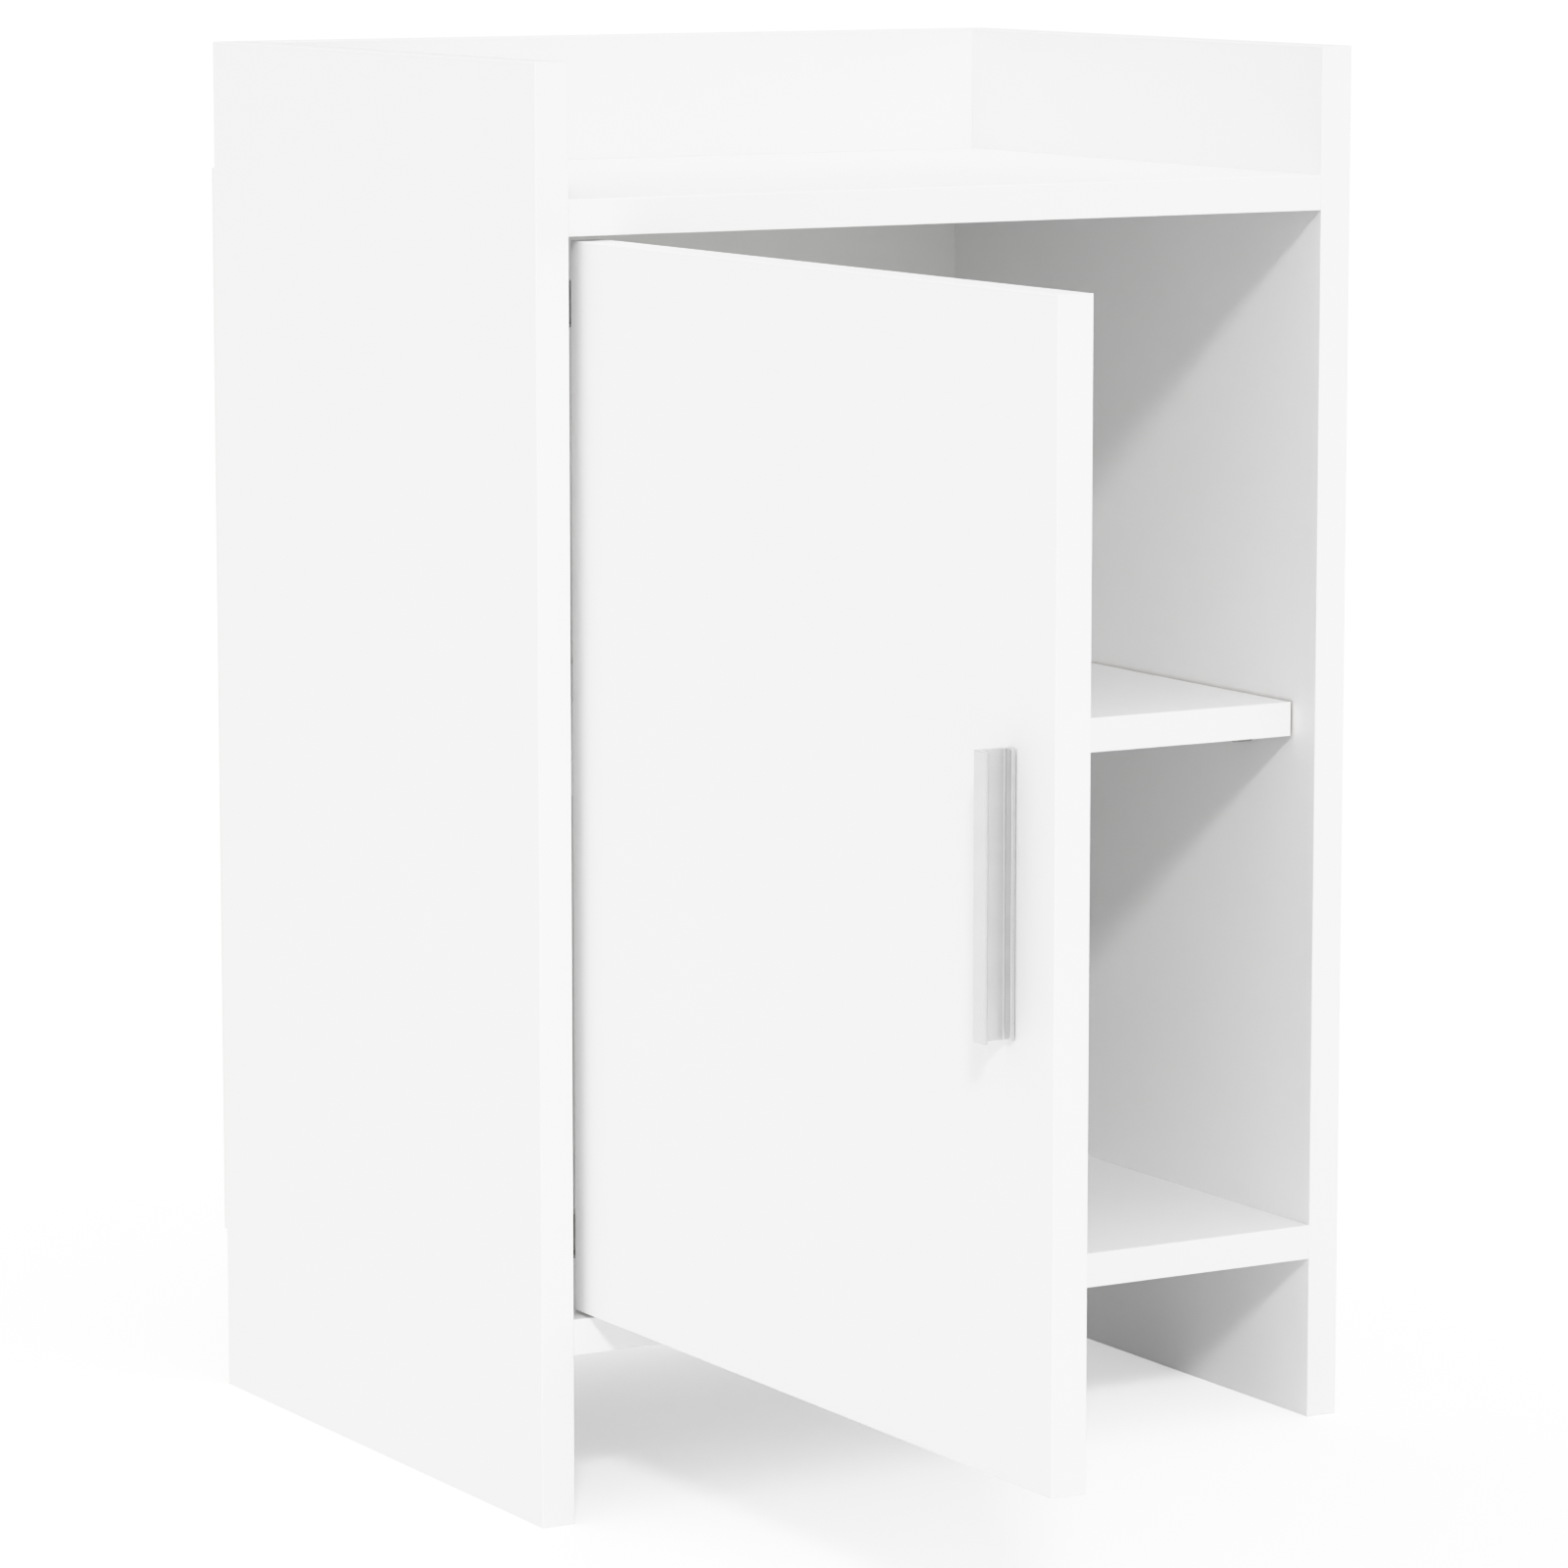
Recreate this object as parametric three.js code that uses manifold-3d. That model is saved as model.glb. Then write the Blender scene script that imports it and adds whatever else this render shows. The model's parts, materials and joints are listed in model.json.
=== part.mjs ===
// A free-standing bathroom cabinet of white furniture board: two side panels that run down to the
// floor, a recessed tray top with an upstand, one shelf and one inset door on two cup hinges.
// Millimetres, +Z up, the front faces -Y. The door stands open at a right angle.
import * as THREE from 'three';
import { mergeVertices } from 'three/addons/utils/BufferGeometryUtils.js';
import Module from 'manifold-3d';

const wasm = await Module();
wasm.setup();

// ---- driving dimensions: carcass ----
const cabinetWidth = 397;
const sideDepth = 297;
const cabinetHeight = 600;
const board = 15;
const backThickness = 3;
const trayDepth = 55;
const floorGap = 71;
const shelfEndGap = 1;
const shelfBackGap = 2;

// ---- driving dimensions: door ----
const doorThickness = 15;
const doorGap = 2;
const openAngle = Math.PI / 2;
const pivotFromPanel = 8.25;
const pivotFromFront = 2.75;

// ---- driving dimensions: handle ----
const handleLength = 107.6;
const handleProjection = 14.7;
const handleWall = 2;
const handleLip = 8.1;
const handleFoot = 6.3;
const handleFromFreeEdge = 32.4;
const handleScrewSpacing = 96;
const handleThread = 1.75;

// ---- driving dimensions: cup hinges ----
const hingeFromDoorEnd = 27;
const cupRadius = 17.5;
const cupWall = 1;
const cupFloor = 0.8;
const cupFromDoorEdge = 3;
const doorSkin = 2.6;
const flangeThickness = 1;
const flangeRim = 1.3;
const cupScrewSpacing = 45;
const cupScrewOffset = 9.5;
const cupPinRadius = 1;
const armPinRadius = 1.2;
const eyeRadius = 2.2;
const linkHalfWidth = 1.6;
const linkBend = 1.3;
const cupPinReach = 5.34;
const cupPinAngle = THREE.MathUtils.degToRad(56.5);
const armPinFromCupRim = 5.25;
const linkCheek = [5, 6.5];
const cupTab = [7, 8.2];
const rimNotchHalf = 7.2;
const rimNotchAbovePivot = 8.05;
const armCheek = [8.2, 9.4];
const armWall = 1.2;
const armHeight = 11;
const armLift = 2;
const armBack = 84;
const plateThickness = 1.6;
const plateFront = 38;
const plateBodyHalf = 7.6;
const plateWingDepth = 18;
const plateWingHalf = 24;
const plateScrewSpacing = 32;
const armScrewRadius = 2.4;
const armScrewLength = 6;
const armScrewHead = 4;
const armScrewFromPlate = 30;
const cupTabHalf = 2;

// ---- driving dimensions: fasteners ----
const woodScrewRadius = 1.9;
const woodScrewHead = 3.6;
const handleScrewHead = 3.8;
const recessHalf = 0.4;
const plateScrewSkin = 2;
const cupScrewSkin = 3.5;
const camRadius = 7.4;
const camSkin = 3;
const camSlotHalf = 0.6;
const camSlotDepth = 1.6;
const camFromPanel = 24;
const camFromEdge = 60;
const boltThreadDepth = 10;
const boltPastCam = 0.5;
const boltHeadLength = 3;
const boltNeckLength = 4;
const boltThreadRadius = 2.4;
const boltShankRadius = 2.6;
const boltHeadRadius = 3;
const dowelRadius = 3.9;
const dowelInPanel = 10;
const dowelInUpstand = 20;
const dowelSpacing = 28;
const pinRadius = 3;
const pinPegRadius = 2.4;
const pinPegDepth = 8;
const pinLength = 9;
const pinFromEdge = 50;
const chamfer = 0.6;

// ---- clearances ----
const touchGap = 0.3;
const holeClearance = 0.3;
const runningClearance = 0.2;
const slotClearance = 0.5;
const cupFloorClearance = 0.4;
const shelfClearance = 0.5;
const seatGap = 0.1;
const holeEndGap = 0.5;
const pastFace = 1;

// ---- places worked out from the sizes ----
const panelInner = cabinetWidth / 2 - board;
const topSurface = cabinetHeight - trayDepth;
const topUnder = topSurface - board;
const bottomSurface = floorGap + board;
const innerHeight = topUnder - bottomSurface;
const shelfUnder = bottomSurface + (innerHeight - board) / 2;
const doorWidth = 2 * panelInner - 2 * doorGap;
const doorLow = bottomSurface + doorGap;
const doorHigh = topUnder - doorGap;
const pivotX = -panelInner + pivotFromPanel;
const pivotY = pivotFromFront;
const freeEndY = pivotY - (doorGap + doorWidth - pivotFromPanel);
const middleY = (sideDepth + backThickness + freeEndY) / 2;
const hingeHeights = { lower: doorLow + hingeFromDoorEnd, upper: doorHigh - hingeFromDoorEnd };
const cupX = doorGap + cupFromDoorEdge + cupRadius;
const cupBoreDepth = doorThickness - doorSkin;
const cupDepth = cupBoreDepth - cupFloorClearance;
const armPinReach = 2 * (cupRadius - armPinFromCupRim);
const plateScrewLength = board - plateScrewSkin;
const cupScrewLength = doorThickness - cupScrewSkin;
const camHeight = board - camSkin;
// The door's inner corner swings this far in, and the shelf stays behind it.
const cornerReach = Math.hypot(pivotFromPanel - doorGap, doorThickness - pivotFromFront);
const shelfSetback = pivotFromFront + cornerReach + shelfClearance;

// ---- materials ----
const finish = (color, roughness, metalness) =>
  new THREE.MeshStandardMaterial({ color, roughness, metalness });
const melamine = finish(0xf3f3f2, 0.45, 0);
const hardboard = finish(0xeeeeec, 0.6, 0);
const aluminium = finish(0xc9cbcd, 0.35, 0.9);
const nickel = finish(0xb9bbbd, 0.28, 1);
const zinc = finish(0xaeb3b6, 0.4, 1);
const beech = finish(0xd2ac7c, 0.7, 0);

// ---- shape helpers ----
const smooth = 32;
const fine = 12;
const camSides = 20;

function block(x0, x1, y0, y1, z0, z1) {
  const shape = new THREE.BoxGeometry(x1 - x0, y1 - y0, z1 - z0);
  return shape.translate((x0 + x1) / 2, (y0 + y1) / 2, (z0 + z1) / 2);
}

// An outline in the plan, pulled up from z0 to z1.
function prism(outline, z0, z1) {
  const shape = outline instanceof THREE.Shape ? outline : new THREE.Shape(outline);
  const options = { depth: z1 - z0, bevelEnabled: false, curveSegments: 6 };
  return new THREE.ExtrudeGeometry(shape, options).translate(0, 0, z0);
}

function upright(radius, x, y, z0, z1, sides = fine) {
  const shape = new THREE.CylinderGeometry(radius, radius, z1 - z0, sides);
  return shape.rotateX(Math.PI / 2).translate(x, y, (z0 + z1) / 2);
}

function alongX(radius, x0, x1, y, z, sides = fine) {
  const shape = new THREE.CylinderGeometry(radius, radius, x1 - x0, sides);
  return shape.rotateZ(Math.PI / 2).translate((x0 + x1) / 2, y, z);
}

function alongY(radius, x, y0, y1, z, sides = fine) {
  const shape = new THREE.CylinderGeometry(radius, radius, y1 - y0, sides);
  return shape.translate(x, (y0 + y1) / 2, z);
}

// A turned shape from [radius, height] pairs that start and end on the axis, standing along +Y.
function turned(profile, sides = fine) {
  return new THREE.LatheGeometry(profile.map(([r, h]) => new THREE.Vector2(r, h)), sides);
}

function toSolid(geometry) {
  const bare = geometry.clone();
  bare.deleteAttribute('normal');
  bare.deleteAttribute('uv');
  const merged = mergeVertices(bare, 1e-4);
  const mesh = new wasm.Mesh({
    numProp: 3,
    vertProperties: new Float32Array(merged.attributes.position.array),
    triVerts: new Uint32Array(merged.index.array),
  });
  return new wasm.Manifold(mesh);
}

function toGeometry(solid) {
  const mesh = solid.getMesh();
  const geometry = new THREE.BufferGeometry();
  geometry.setAttribute('position', new THREE.BufferAttribute(mesh.vertProperties, 3));
  geometry.setIndex(new THREE.BufferAttribute(mesh.triVerts, 1));
  geometry.computeVertexNormals();
  return geometry;
}

function carve(pieces, cuts = []) {
  let solid = toSolid(pieces[0]);
  for (const piece of pieces.slice(1)) solid = solid.add(toSolid(piece));
  for (const cut of cuts) solid = solid.subtract(toSolid(cut));
  return toGeometry(solid);
}

// The two crossed slots of a screw's recess, from the given height up through its head along +Y.
function crossRecess(reach, from) {
  const to = from + woodScrewHead;
  return [
    block(-reach, reach, from, to, -recessHalf, recessHalf),
    block(-recessHalf, recessHalf, from, to, -reach, reach),
  ];
}

function add(group, name, geometry, material) {
  const mesh = new THREE.Mesh(geometry, material);
  mesh.name = name;
  group.add(mesh);
  return mesh;
}

// ---- groups: the cabinet, and the door turned about its hinge line ----
const cabinet = new THREE.Group();
cabinet.position.y = -middleY;
const doorSwing = new THREE.Group();
doorSwing.position.set(pivotX, pivotY, 0);
doorSwing.rotation.z = -openAngle;
cabinet.add(doorSwing);
// The door's pieces are drawn shut: x from the panel's inner face, y from the front plane.
const door = new THREE.Group();
door.position.set(-pivotFromPanel, -pivotFromFront, 0);
doorSwing.add(door);
// The hinge arms are drawn from the same two planes.
const leftInside = new THREE.Group();
leftInside.position.x = -panelInner;
cabinet.add(leftInside);

const sides = { left: -1, right: 1 };
const ends = { front: camFromEdge, rear: sideDepth - camFromEdge };
const pinRows = { front: pinFromEdge, rear: sideDepth - pinFromEdge };
const camBoards = { top: topUnder, bottom: floorGap };

// ---- fittings that join the boards ----
const boltReach = camFromPanel + boltPastCam;
const boltNeckStart = boltReach - boltHeadLength - boltNeckLength;

function boltShape() {
  return turned([
    [0, -boltThreadDepth], [boltThreadRadius - chamfer, -boltThreadDepth],
    [boltThreadRadius, chamfer - boltThreadDepth], [boltThreadRadius, 0],
    [boltHeadRadius, 0], [boltHeadRadius, 2], [boltShankRadius, 2],
    [boltShankRadius, boltNeckStart], [boltShankRadius - 1, boltNeckStart],
    [boltShankRadius - 1, boltReach - boltHeadLength], [boltHeadRadius, boltReach - boltHeadLength],
    [boltHeadRadius, boltReach], [0, boltReach],
  ], 10);
}

function camShape(under) {
  const mid = board / 2;
  const grip = boltHeadRadius + chamfer;
  const slotReach = camRadius * 0.65;
  return carve([upright(camRadius, 0, 0, touchGap, touchGap + camHeight, camSides)], [
    alongX(grip, 0, camRadius + pastFace, 0, mid),
    upright(grip, 0, 0, mid - grip, mid + grip),
    block(-slotReach, slotReach, -camSlotHalf, camSlotHalf, 0, touchGap + camSlotDepth),
    block(-camSlotHalf, camSlotHalf, -slotReach, slotReach, 0, touchGap + camSlotDepth),
  ]).translate(0, 0, under);
}

function camCuts(under) {
  const cuts = [];
  for (const side of Object.values(sides)) {
    for (const y of Object.values(ends)) {
      const x = side * (panelInner - camFromPanel);
      cuts.push(upright(camRadius + holeClearance, x, y, under - pastFace,
        under + camHeight + 2 * touchGap, camSides));
      const [x0, x1] = side > 0 ? [x, panelInner + pastFace] : [-panelInner - pastFace, x];
      cuts.push(alongX(boltHeadRadius + 1, x0, x1, y, under + board / 2));
    }
  }
  return cuts;
}

for (const [boardName, under] of Object.entries(camBoards)) {
  for (const [sideName, side] of Object.entries(sides)) {
    for (const [endName, y] of Object.entries(ends)) {
      const place = `${boardName}_${sideName}_${endName}`;
      const cam = add(cabinet, `cam_${place}`, camShape(0), zinc);
      cam.position.set(side * (panelInner - camFromPanel), y, under);
      cam.rotation.z = side > 0 ? 0 : Math.PI;
      const bolt = add(cabinet, `cam_bolt_${place}`, boltShape(), zinc);
      bolt.position.set(side * panelInner, y, under + board / 2);
      bolt.rotation.z = side > 0 ? Math.PI / 2 : -Math.PI / 2;
    }
  }
}

const upstandMiddle = { y: sideDepth - board / 2, z: topSurface + trayDepth / 2 };
const dowelRows = {
  low: upstandMiddle.z - dowelSpacing / 2,
  high: upstandMiddle.z + dowelSpacing / 2,
};
for (const [sideName, side] of Object.entries(sides)) {
  for (const [rowName, height] of Object.entries(dowelRows)) {
    const shape = turned([
      [0, -dowelInPanel], [dowelRadius - 1, -dowelInPanel], [dowelRadius, 1 - dowelInPanel],
      [dowelRadius, dowelInUpstand - 1], [dowelRadius - 1, dowelInUpstand], [0, dowelInUpstand],
    ]);
    const dowel = add(cabinet, `upstand_dowel_${sideName}_${rowName}`, shape, beech);
    dowel.position.set(side * panelInner, upstandMiddle.y, height);
    dowel.rotation.z = side > 0 ? Math.PI / 2 : -Math.PI / 2;
  }
}

const pinHeight = shelfUnder - pinRadius - seatGap;
for (const [sideName, side] of Object.entries(sides)) {
  for (const [rowName, y] of Object.entries(pinRows)) {
    const shape = turned([
      [0, -pinPegDepth], [pinPegRadius, -pinPegDepth], [pinPegRadius, seatGap],
      [pinRadius, seatGap], [pinRadius, pinLength - chamfer], [pinRadius - chamfer, pinLength],
      [0, pinLength],
    ]);
    const pin = add(cabinet, `shelf_pin_${sideName}_${rowName}`, shape, nickel);
    pin.position.set(side * panelInner, y, pinHeight);
    pin.rotation.z = side > 0 ? Math.PI / 2 : -Math.PI / 2;
  }
}

// ---- side panels, with the holes that the fittings need ----
const plateScrewY = plateFront + plateWingDepth / 2;

function panelHoles(side) {
  const into = (depth) => (side > 0
    ? [panelInner - pastFace, panelInner + depth + holeEndGap]
    : [-panelInner - depth - holeEndGap, -panelInner + pastFace]);
  const cuts = [];
  for (const under of Object.values(camBoards)) {
    for (const y of Object.values(ends)) {
      cuts.push(alongX(boltThreadRadius + holeClearance, ...into(boltThreadDepth), y,
        under + board / 2));
    }
  }
  for (const y of Object.values(pinRows)) {
    cuts.push(alongX(pinPegRadius + holeClearance, ...into(pinPegDepth), y, pinHeight));
  }
  for (const height of Object.values(dowelRows)) {
    cuts.push(alongX(dowelRadius + holeClearance, ...into(dowelInPanel), upstandMiddle.y, height));
  }
  if (side > 0) return cuts;
  for (const height of Object.values(hingeHeights)) {
    for (const turn of [-1, 1]) {
      cuts.push(alongX(woodScrewRadius + holeClearance, ...into(plateScrewLength - plateThickness),
        plateScrewY, height + turn * plateScrewSpacing / 2));
    }
  }
  return cuts;
}

for (const [sideName, side] of Object.entries(sides)) {
  const [x0, x1] = side > 0 ? [panelInner, panelInner + board] : [-panelInner - board, -panelInner];
  const panel = block(x0, x1, 0, sideDepth, 0, cabinetHeight);
  add(cabinet, `side_panel_${sideName}`, carve([panel], panelHoles(side)), melamine);
}

// ---- boards between the side panels, and the back ----
for (const [boardName, under] of Object.entries(camBoards)) {
  const plain = block(-panelInner, panelInner, 0, sideDepth, under, under + board);
  add(cabinet, `${boardName}_board`, carve([plain], camCuts(under)), melamine);
}

const dowelHoles = Object.values(sides).flatMap((side) => {
  const deep = dowelInUpstand + holeEndGap;
  const [x0, x1] = side > 0
    ? [panelInner - deep, panelInner + pastFace] : [-panelInner - pastFace, deep - panelInner];
  return Object.values(dowelRows).map((height) => alongX(dowelRadius + holeClearance, x0, x1,
    upstandMiddle.y, height));
});
const upstand = block(-panelInner, panelInner, sideDepth - board, sideDepth, topSurface, cabinetHeight);
add(cabinet, 'upstand', carve([upstand], dowelHoles), melamine);

const shelfReach = panelInner - shelfEndGap;
add(cabinet, 'shelf', block(-shelfReach, shelfReach, shelfSetback, sideDepth - shelfBackGap,
  shelfUnder, shelfUnder + board), melamine);

add(cabinet, 'back_panel', block(-cabinetWidth / 2, cabinetWidth / 2, sideDepth,
  sideDepth + backThickness, floorGap, topSurface), hardboard);

// ---- hinge geometry in the plan ----
// The link turns on the arm pin and follows the cup pin. The cup pin's two places, door shut and
// door open, are the same distance from the arm pin, which lies on the line that halves the swing.
function planLink() {
  const half = openAngle / 2;
  const lineAngle = cupPinAngle - half;
  const pivot = new THREE.Vector2(pivotFromPanel, pivotFromFront);
  const at = (angle, reach) => new THREE.Vector2(Math.cos(angle), Math.sin(angle))
    .multiplyScalar(reach).add(pivot);
  const armPin = at(lineAngle, armPinReach);
  const cupPinShut = at(cupPinAngle, cupPinReach);
  const cupPinOpen = at(cupPinAngle - openAngle, cupPinReach);
  const length = armPin.distanceTo(cupPinOpen);
  // Half way through the swing the link's end is this far past the cup pin.
  const slotIn = length + cupPinReach - armPinReach;
  return { armPin, cupPinShut, cupPinOpen, length, slotIn };
}
const linkPlan = planLink();

// A flat bar in the plan between two points.
function bar([x0, y0], [x1, y1], half, z0, z1) {
  const length = Math.hypot(x1 - x0, y1 - y0);
  const shape = block(0, length, -half, half, z0, z1);
  return shape.rotateZ(Math.atan2(y1 - y0, x1 - x0)).translate(x0, y0, 0);
}

// The link: two bent cheeks and the bridge that joins them, drawn along +X from its arm pin at
// the origin to the open slot that the cup pin runs in.
function linkShape() {
  const end = linkPlan.length;
  const slotStart = linkPlan.length - linkPlan.slotIn;
  const slotHalf = cupPinRadius + slotClearance;
  const bend = [linkPlan.length * 0.45, linkBend];
  const pieces = [];
  const cuts = [];
  for (const [z0, z1] of [linkCheek, [-linkCheek[1], -linkCheek[0]]]) {
    pieces.push(
      bar([0, 0], bend, linkHalfWidth, z0, z1),
      bar(bend, [slotStart, 0], linkHalfWidth, z0, z1),
      upright(linkHalfWidth, ...bend, z0, z1),
      upright(eyeRadius, 0, 0, z0, z1),
      block(slotStart, end, -eyeRadius, eyeRadius, z0, z1),
      upright(eyeRadius, slotStart, 0, z0, z1),
    );
    cuts.push(
      upright(armPinRadius + runningClearance, 0, 0, z0 - 1, z1 + 1),
      block(slotStart, end + 1, -slotHalf, slotHalf, z0 - 1, z1 + 1),
      upright(slotHalf, slotStart, 0, z0 - 1, z1 + 1),
    );
  }
  pieces.push(block(eyeRadius + 1, bend[0], linkHalfWidth - 0.8, linkHalfWidth + 0.2,
    -linkCheek[1], linkCheek[1]));
  return carve(pieces, cuts);
}

// ---- hinge arm: two cheeks and the web that joins them, bent out to the arm pin ----
const armScrewY = plateFront + armScrewFromPlate;

function armShape() {
  const pin = linkPlan.armPin;
  const tip = eyeRadius;
  const bendY = plateFront + 2;
  const webLine = [[armHeight, armBack], [armHeight, bendY],
    [(armHeight + pin.x) / 2, bendY - 10], [pin.x + 0.7, bendY - 20]];
  const cheek = [
    ...webLine, [pin.x + tip, pin.y + tip], [pin.x + tip, pin.y], [pin.x + 1.2, pin.y - 1.9],
    [pin.x - 1.2, pin.y - 1.9], [pin.x - tip, pin.y], [pin.x - 4, pin.y + 5],
    [pin.x - 12, pin.y + 12.5], [armHeight - 3, pin.y + 23], [armLift, plateFront - 1],
    [armLift, armBack],
  ].map(([x, y]) => new THREE.Vector2(x, y));
  const inward = webLine.map(([x, y]) => [x - armWall, y - armWall * 0.7]).reverse();
  inward[inward.length - 1][1] = armBack;
  const web = [...webLine, ...inward].map(([x, y]) => new THREE.Vector2(x, y));
  const [z0, z1] = armCheek;
  return carve([prism(web, -z1, z1), prism(cheek, z0, z1), prism(cheek, -z1, -z0)], [
    upright(armPinRadius + runningClearance, pin.x, pin.y, -z1 - 1, z1 + 1),
    alongX(armScrewRadius + holeClearance, armHeight - 4, armHeight + 2, armScrewY, 0),
  ]);
}

function armPinShape() {
  const half = armCheek[1] + 0.3;
  return upright(armPinRadius, linkPlan.armPin.x, linkPlan.armPin.y, -half, half);
}

// ---- mounting plate: a body that the arm sits over, and two wings for its screws ----
function plateShape() {
  const wingBack = plateFront + plateWingDepth;
  const body = block(0, armHeight - 2.4, plateFront, armBack - 2, -plateBodyHalf, plateBodyHalf);
  const base = block(0, plateThickness, plateFront, wingBack, -plateWingHalf, plateWingHalf);
  const holes = [-1, 1].map((turn) => alongX(woodScrewRadius + holeClearance, -1, plateThickness + 1,
    plateScrewY, turn * plateScrewSpacing / 2));
  const thread = alongX(armScrewRadius + holeClearance, armHeight - armScrewLength - 1, armHeight,
    armScrewY, 0);
  return carve([body, base], [...holes, thread]);
}

// ---- hinge cup: a pressed cup with a flange, and two tabs that hold its pin ----
function cupShape() {
  const seat = doorThickness + touchGap;
  const low = seat - cupDepth;
  const top = seat + flangeThickness;
  const inner = cupRadius - cupWall;
  const ear = woodScrewHead + 0.1;
  const earX = cupX + cupScrewOffset;
  const flangeHalf = cupScrewSpacing / 2 + ear;
  const pin = linkPlan.cupPinShut;
  const shell = carve([
    alongY(cupRadius, cupX, low, seat + 0.1, 0, smooth),
    alongY(cupRadius + flangeRim, cupX, seat, top, 0, smooth),
    block(cupX, earX + ear, seat, top, -flangeHalf, flangeHalf),
  ], [
    alongY(inner, cupX, low + cupFloor, top + 1, 0, smooth),
    block(cupX - cupRadius - flangeRim - 1, cupX - inner + 3, pivotFromFront + rimNotchAbovePivot,
      top + 1, -rimNotchHalf, rimNotchHalf),
  ]);
  const tabs = [];
  for (const [z0, z1] of [cupTab, [-cupTab[1], -cupTab[0]]]) {
    tabs.push(block(pin.x - cupTabHalf, pin.x + cupTabHalf, low + cupFloor / 2, pin.y, z0, z1));
    tabs.push(upright(cupTabHalf, pin.x, pin.y, z0, z1));
  }
  const reach = cupTab[1] + 1;
  return carve([shell, ...tabs], [
    upright(cupPinRadius + holeClearance, pin.x, pin.y, -reach, reach),
    ...[-1, 1].map((turn) => alongY(woodScrewRadius + holeClearance, earX, seat - 1, top + 1,
      turn * cupScrewSpacing / 2)),
  ]);
}

function cupPinShape() {
  const half = cupTab[1] - 0.1;
  return upright(cupPinRadius, linkPlan.cupPinShut.x, linkPlan.cupPinShut.y, -half, half);
}

// A countersunk wood screw along +Y, its head's flat top at y = 0, with a cross recess.
function woodScrewShape(length) {
  const core = woodScrewRadius - 0.3;
  const shank = turned([
    [0, -length], [core, 2 - length], [woodScrewRadius, 2.6 - length],
    [woodScrewRadius, -1.2], [woodScrewRadius, 0.2], [woodScrewHead, 0.4],
    [woodScrewHead, 0.9], [woodScrewHead - 1, 1.6], [0, 1.6],
  ]);
  return carve([shank], crossRecess(woodScrewHead - 1.4, 0.7));
}

function armScrewShape() {
  const shank = turned([
    [0, -armScrewLength], [armScrewRadius, -armScrewLength], [armScrewRadius, touchGap],
    [armScrewHead, touchGap], [armScrewHead, 1.8], [armScrewHead - 1, 2.4], [0, 2.4],
  ]);
  return carve([shank], crossRecess(armScrewHead - 1.6, 1.3));
}

for (const [name, height] of Object.entries(hingeHeights)) {
  add(leftInside, `hinge_arm_${name}`, armShape(), nickel).position.z = height;
  add(leftInside, `hinge_plate_${name}`, plateShape(), nickel).position.z = height;
  add(leftInside, `hinge_arm_pin_${name}`, armPinShape(), nickel).position.z = height;
  const link = add(leftInside, `hinge_link_${name}`, linkShape(), nickel);
  link.position.set(linkPlan.armPin.x, linkPlan.armPin.y, height);
  const along = linkPlan.cupPinOpen.clone().sub(linkPlan.armPin);
  link.rotation.z = Math.atan2(along.y, along.x);
  const armScrew = add(leftInside, `hinge_arm_screw_${name}`, armScrewShape(), nickel);
  armScrew.position.set(armHeight, armScrewY, height);
  armScrew.rotation.z = -Math.PI / 2;

  add(door, `hinge_cup_${name}`, cupShape(), nickel).position.z = height;
  add(door, `hinge_cup_pin_${name}`, cupPinShape(), nickel).position.z = height;
  for (const [screwName, turn] of Object.entries({ low: -1, high: 1 })) {
    const plateScrew = add(leftInside, `plate_screw_${screwName}_${name}`,
      woodScrewShape(plateScrewLength - plateThickness), nickel);
    plateScrew.position.set(plateThickness, plateScrewY, height + turn * plateScrewSpacing / 2);
    plateScrew.rotation.z = -Math.PI / 2;
    const cupScrew = add(door, `cup_screw_${screwName}_${name}`, woodScrewShape(cupScrewLength), nickel);
    cupScrew.position.set(cupX + cupScrewOffset, doorThickness + 2 * touchGap + flangeThickness,
      height + turn * cupScrewSpacing / 2);
  }
}

// ---- door panel, drawn shut ----
const handleX = doorGap + doorWidth - handleFromFreeEdge;
const handleScrewX = handleX + handleFoot / 2;
const doorMiddle = (doorLow + doorHigh) / 2;

function doorShape() {
  const panel = block(doorGap, doorGap + doorWidth, 0, doorThickness, doorLow, doorHigh);
  const cuts = [];
  for (const height of Object.values(hingeHeights)) {
    cuts.push(alongY(cupRadius + holeClearance, cupX, doorThickness - cupBoreDepth,
      doorThickness + pastFace, height, smooth));
    for (const turn of [-1, 1]) {
      cuts.push(alongY(woodScrewRadius + holeClearance, cupX + cupScrewOffset,
        doorThickness - cupScrewLength, doorThickness + 1, height + turn * cupScrewSpacing / 2));
    }
  }
  for (const turn of [-1, 1]) {
    cuts.push(alongY(handleThread + 2 * holeClearance, handleScrewX, -1, doorThickness + 1,
      doorMiddle + turn * handleScrewSpacing / 2));
  }
  return carve([panel], cuts);
}
add(door, 'door', doorShape(), melamine);

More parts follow.
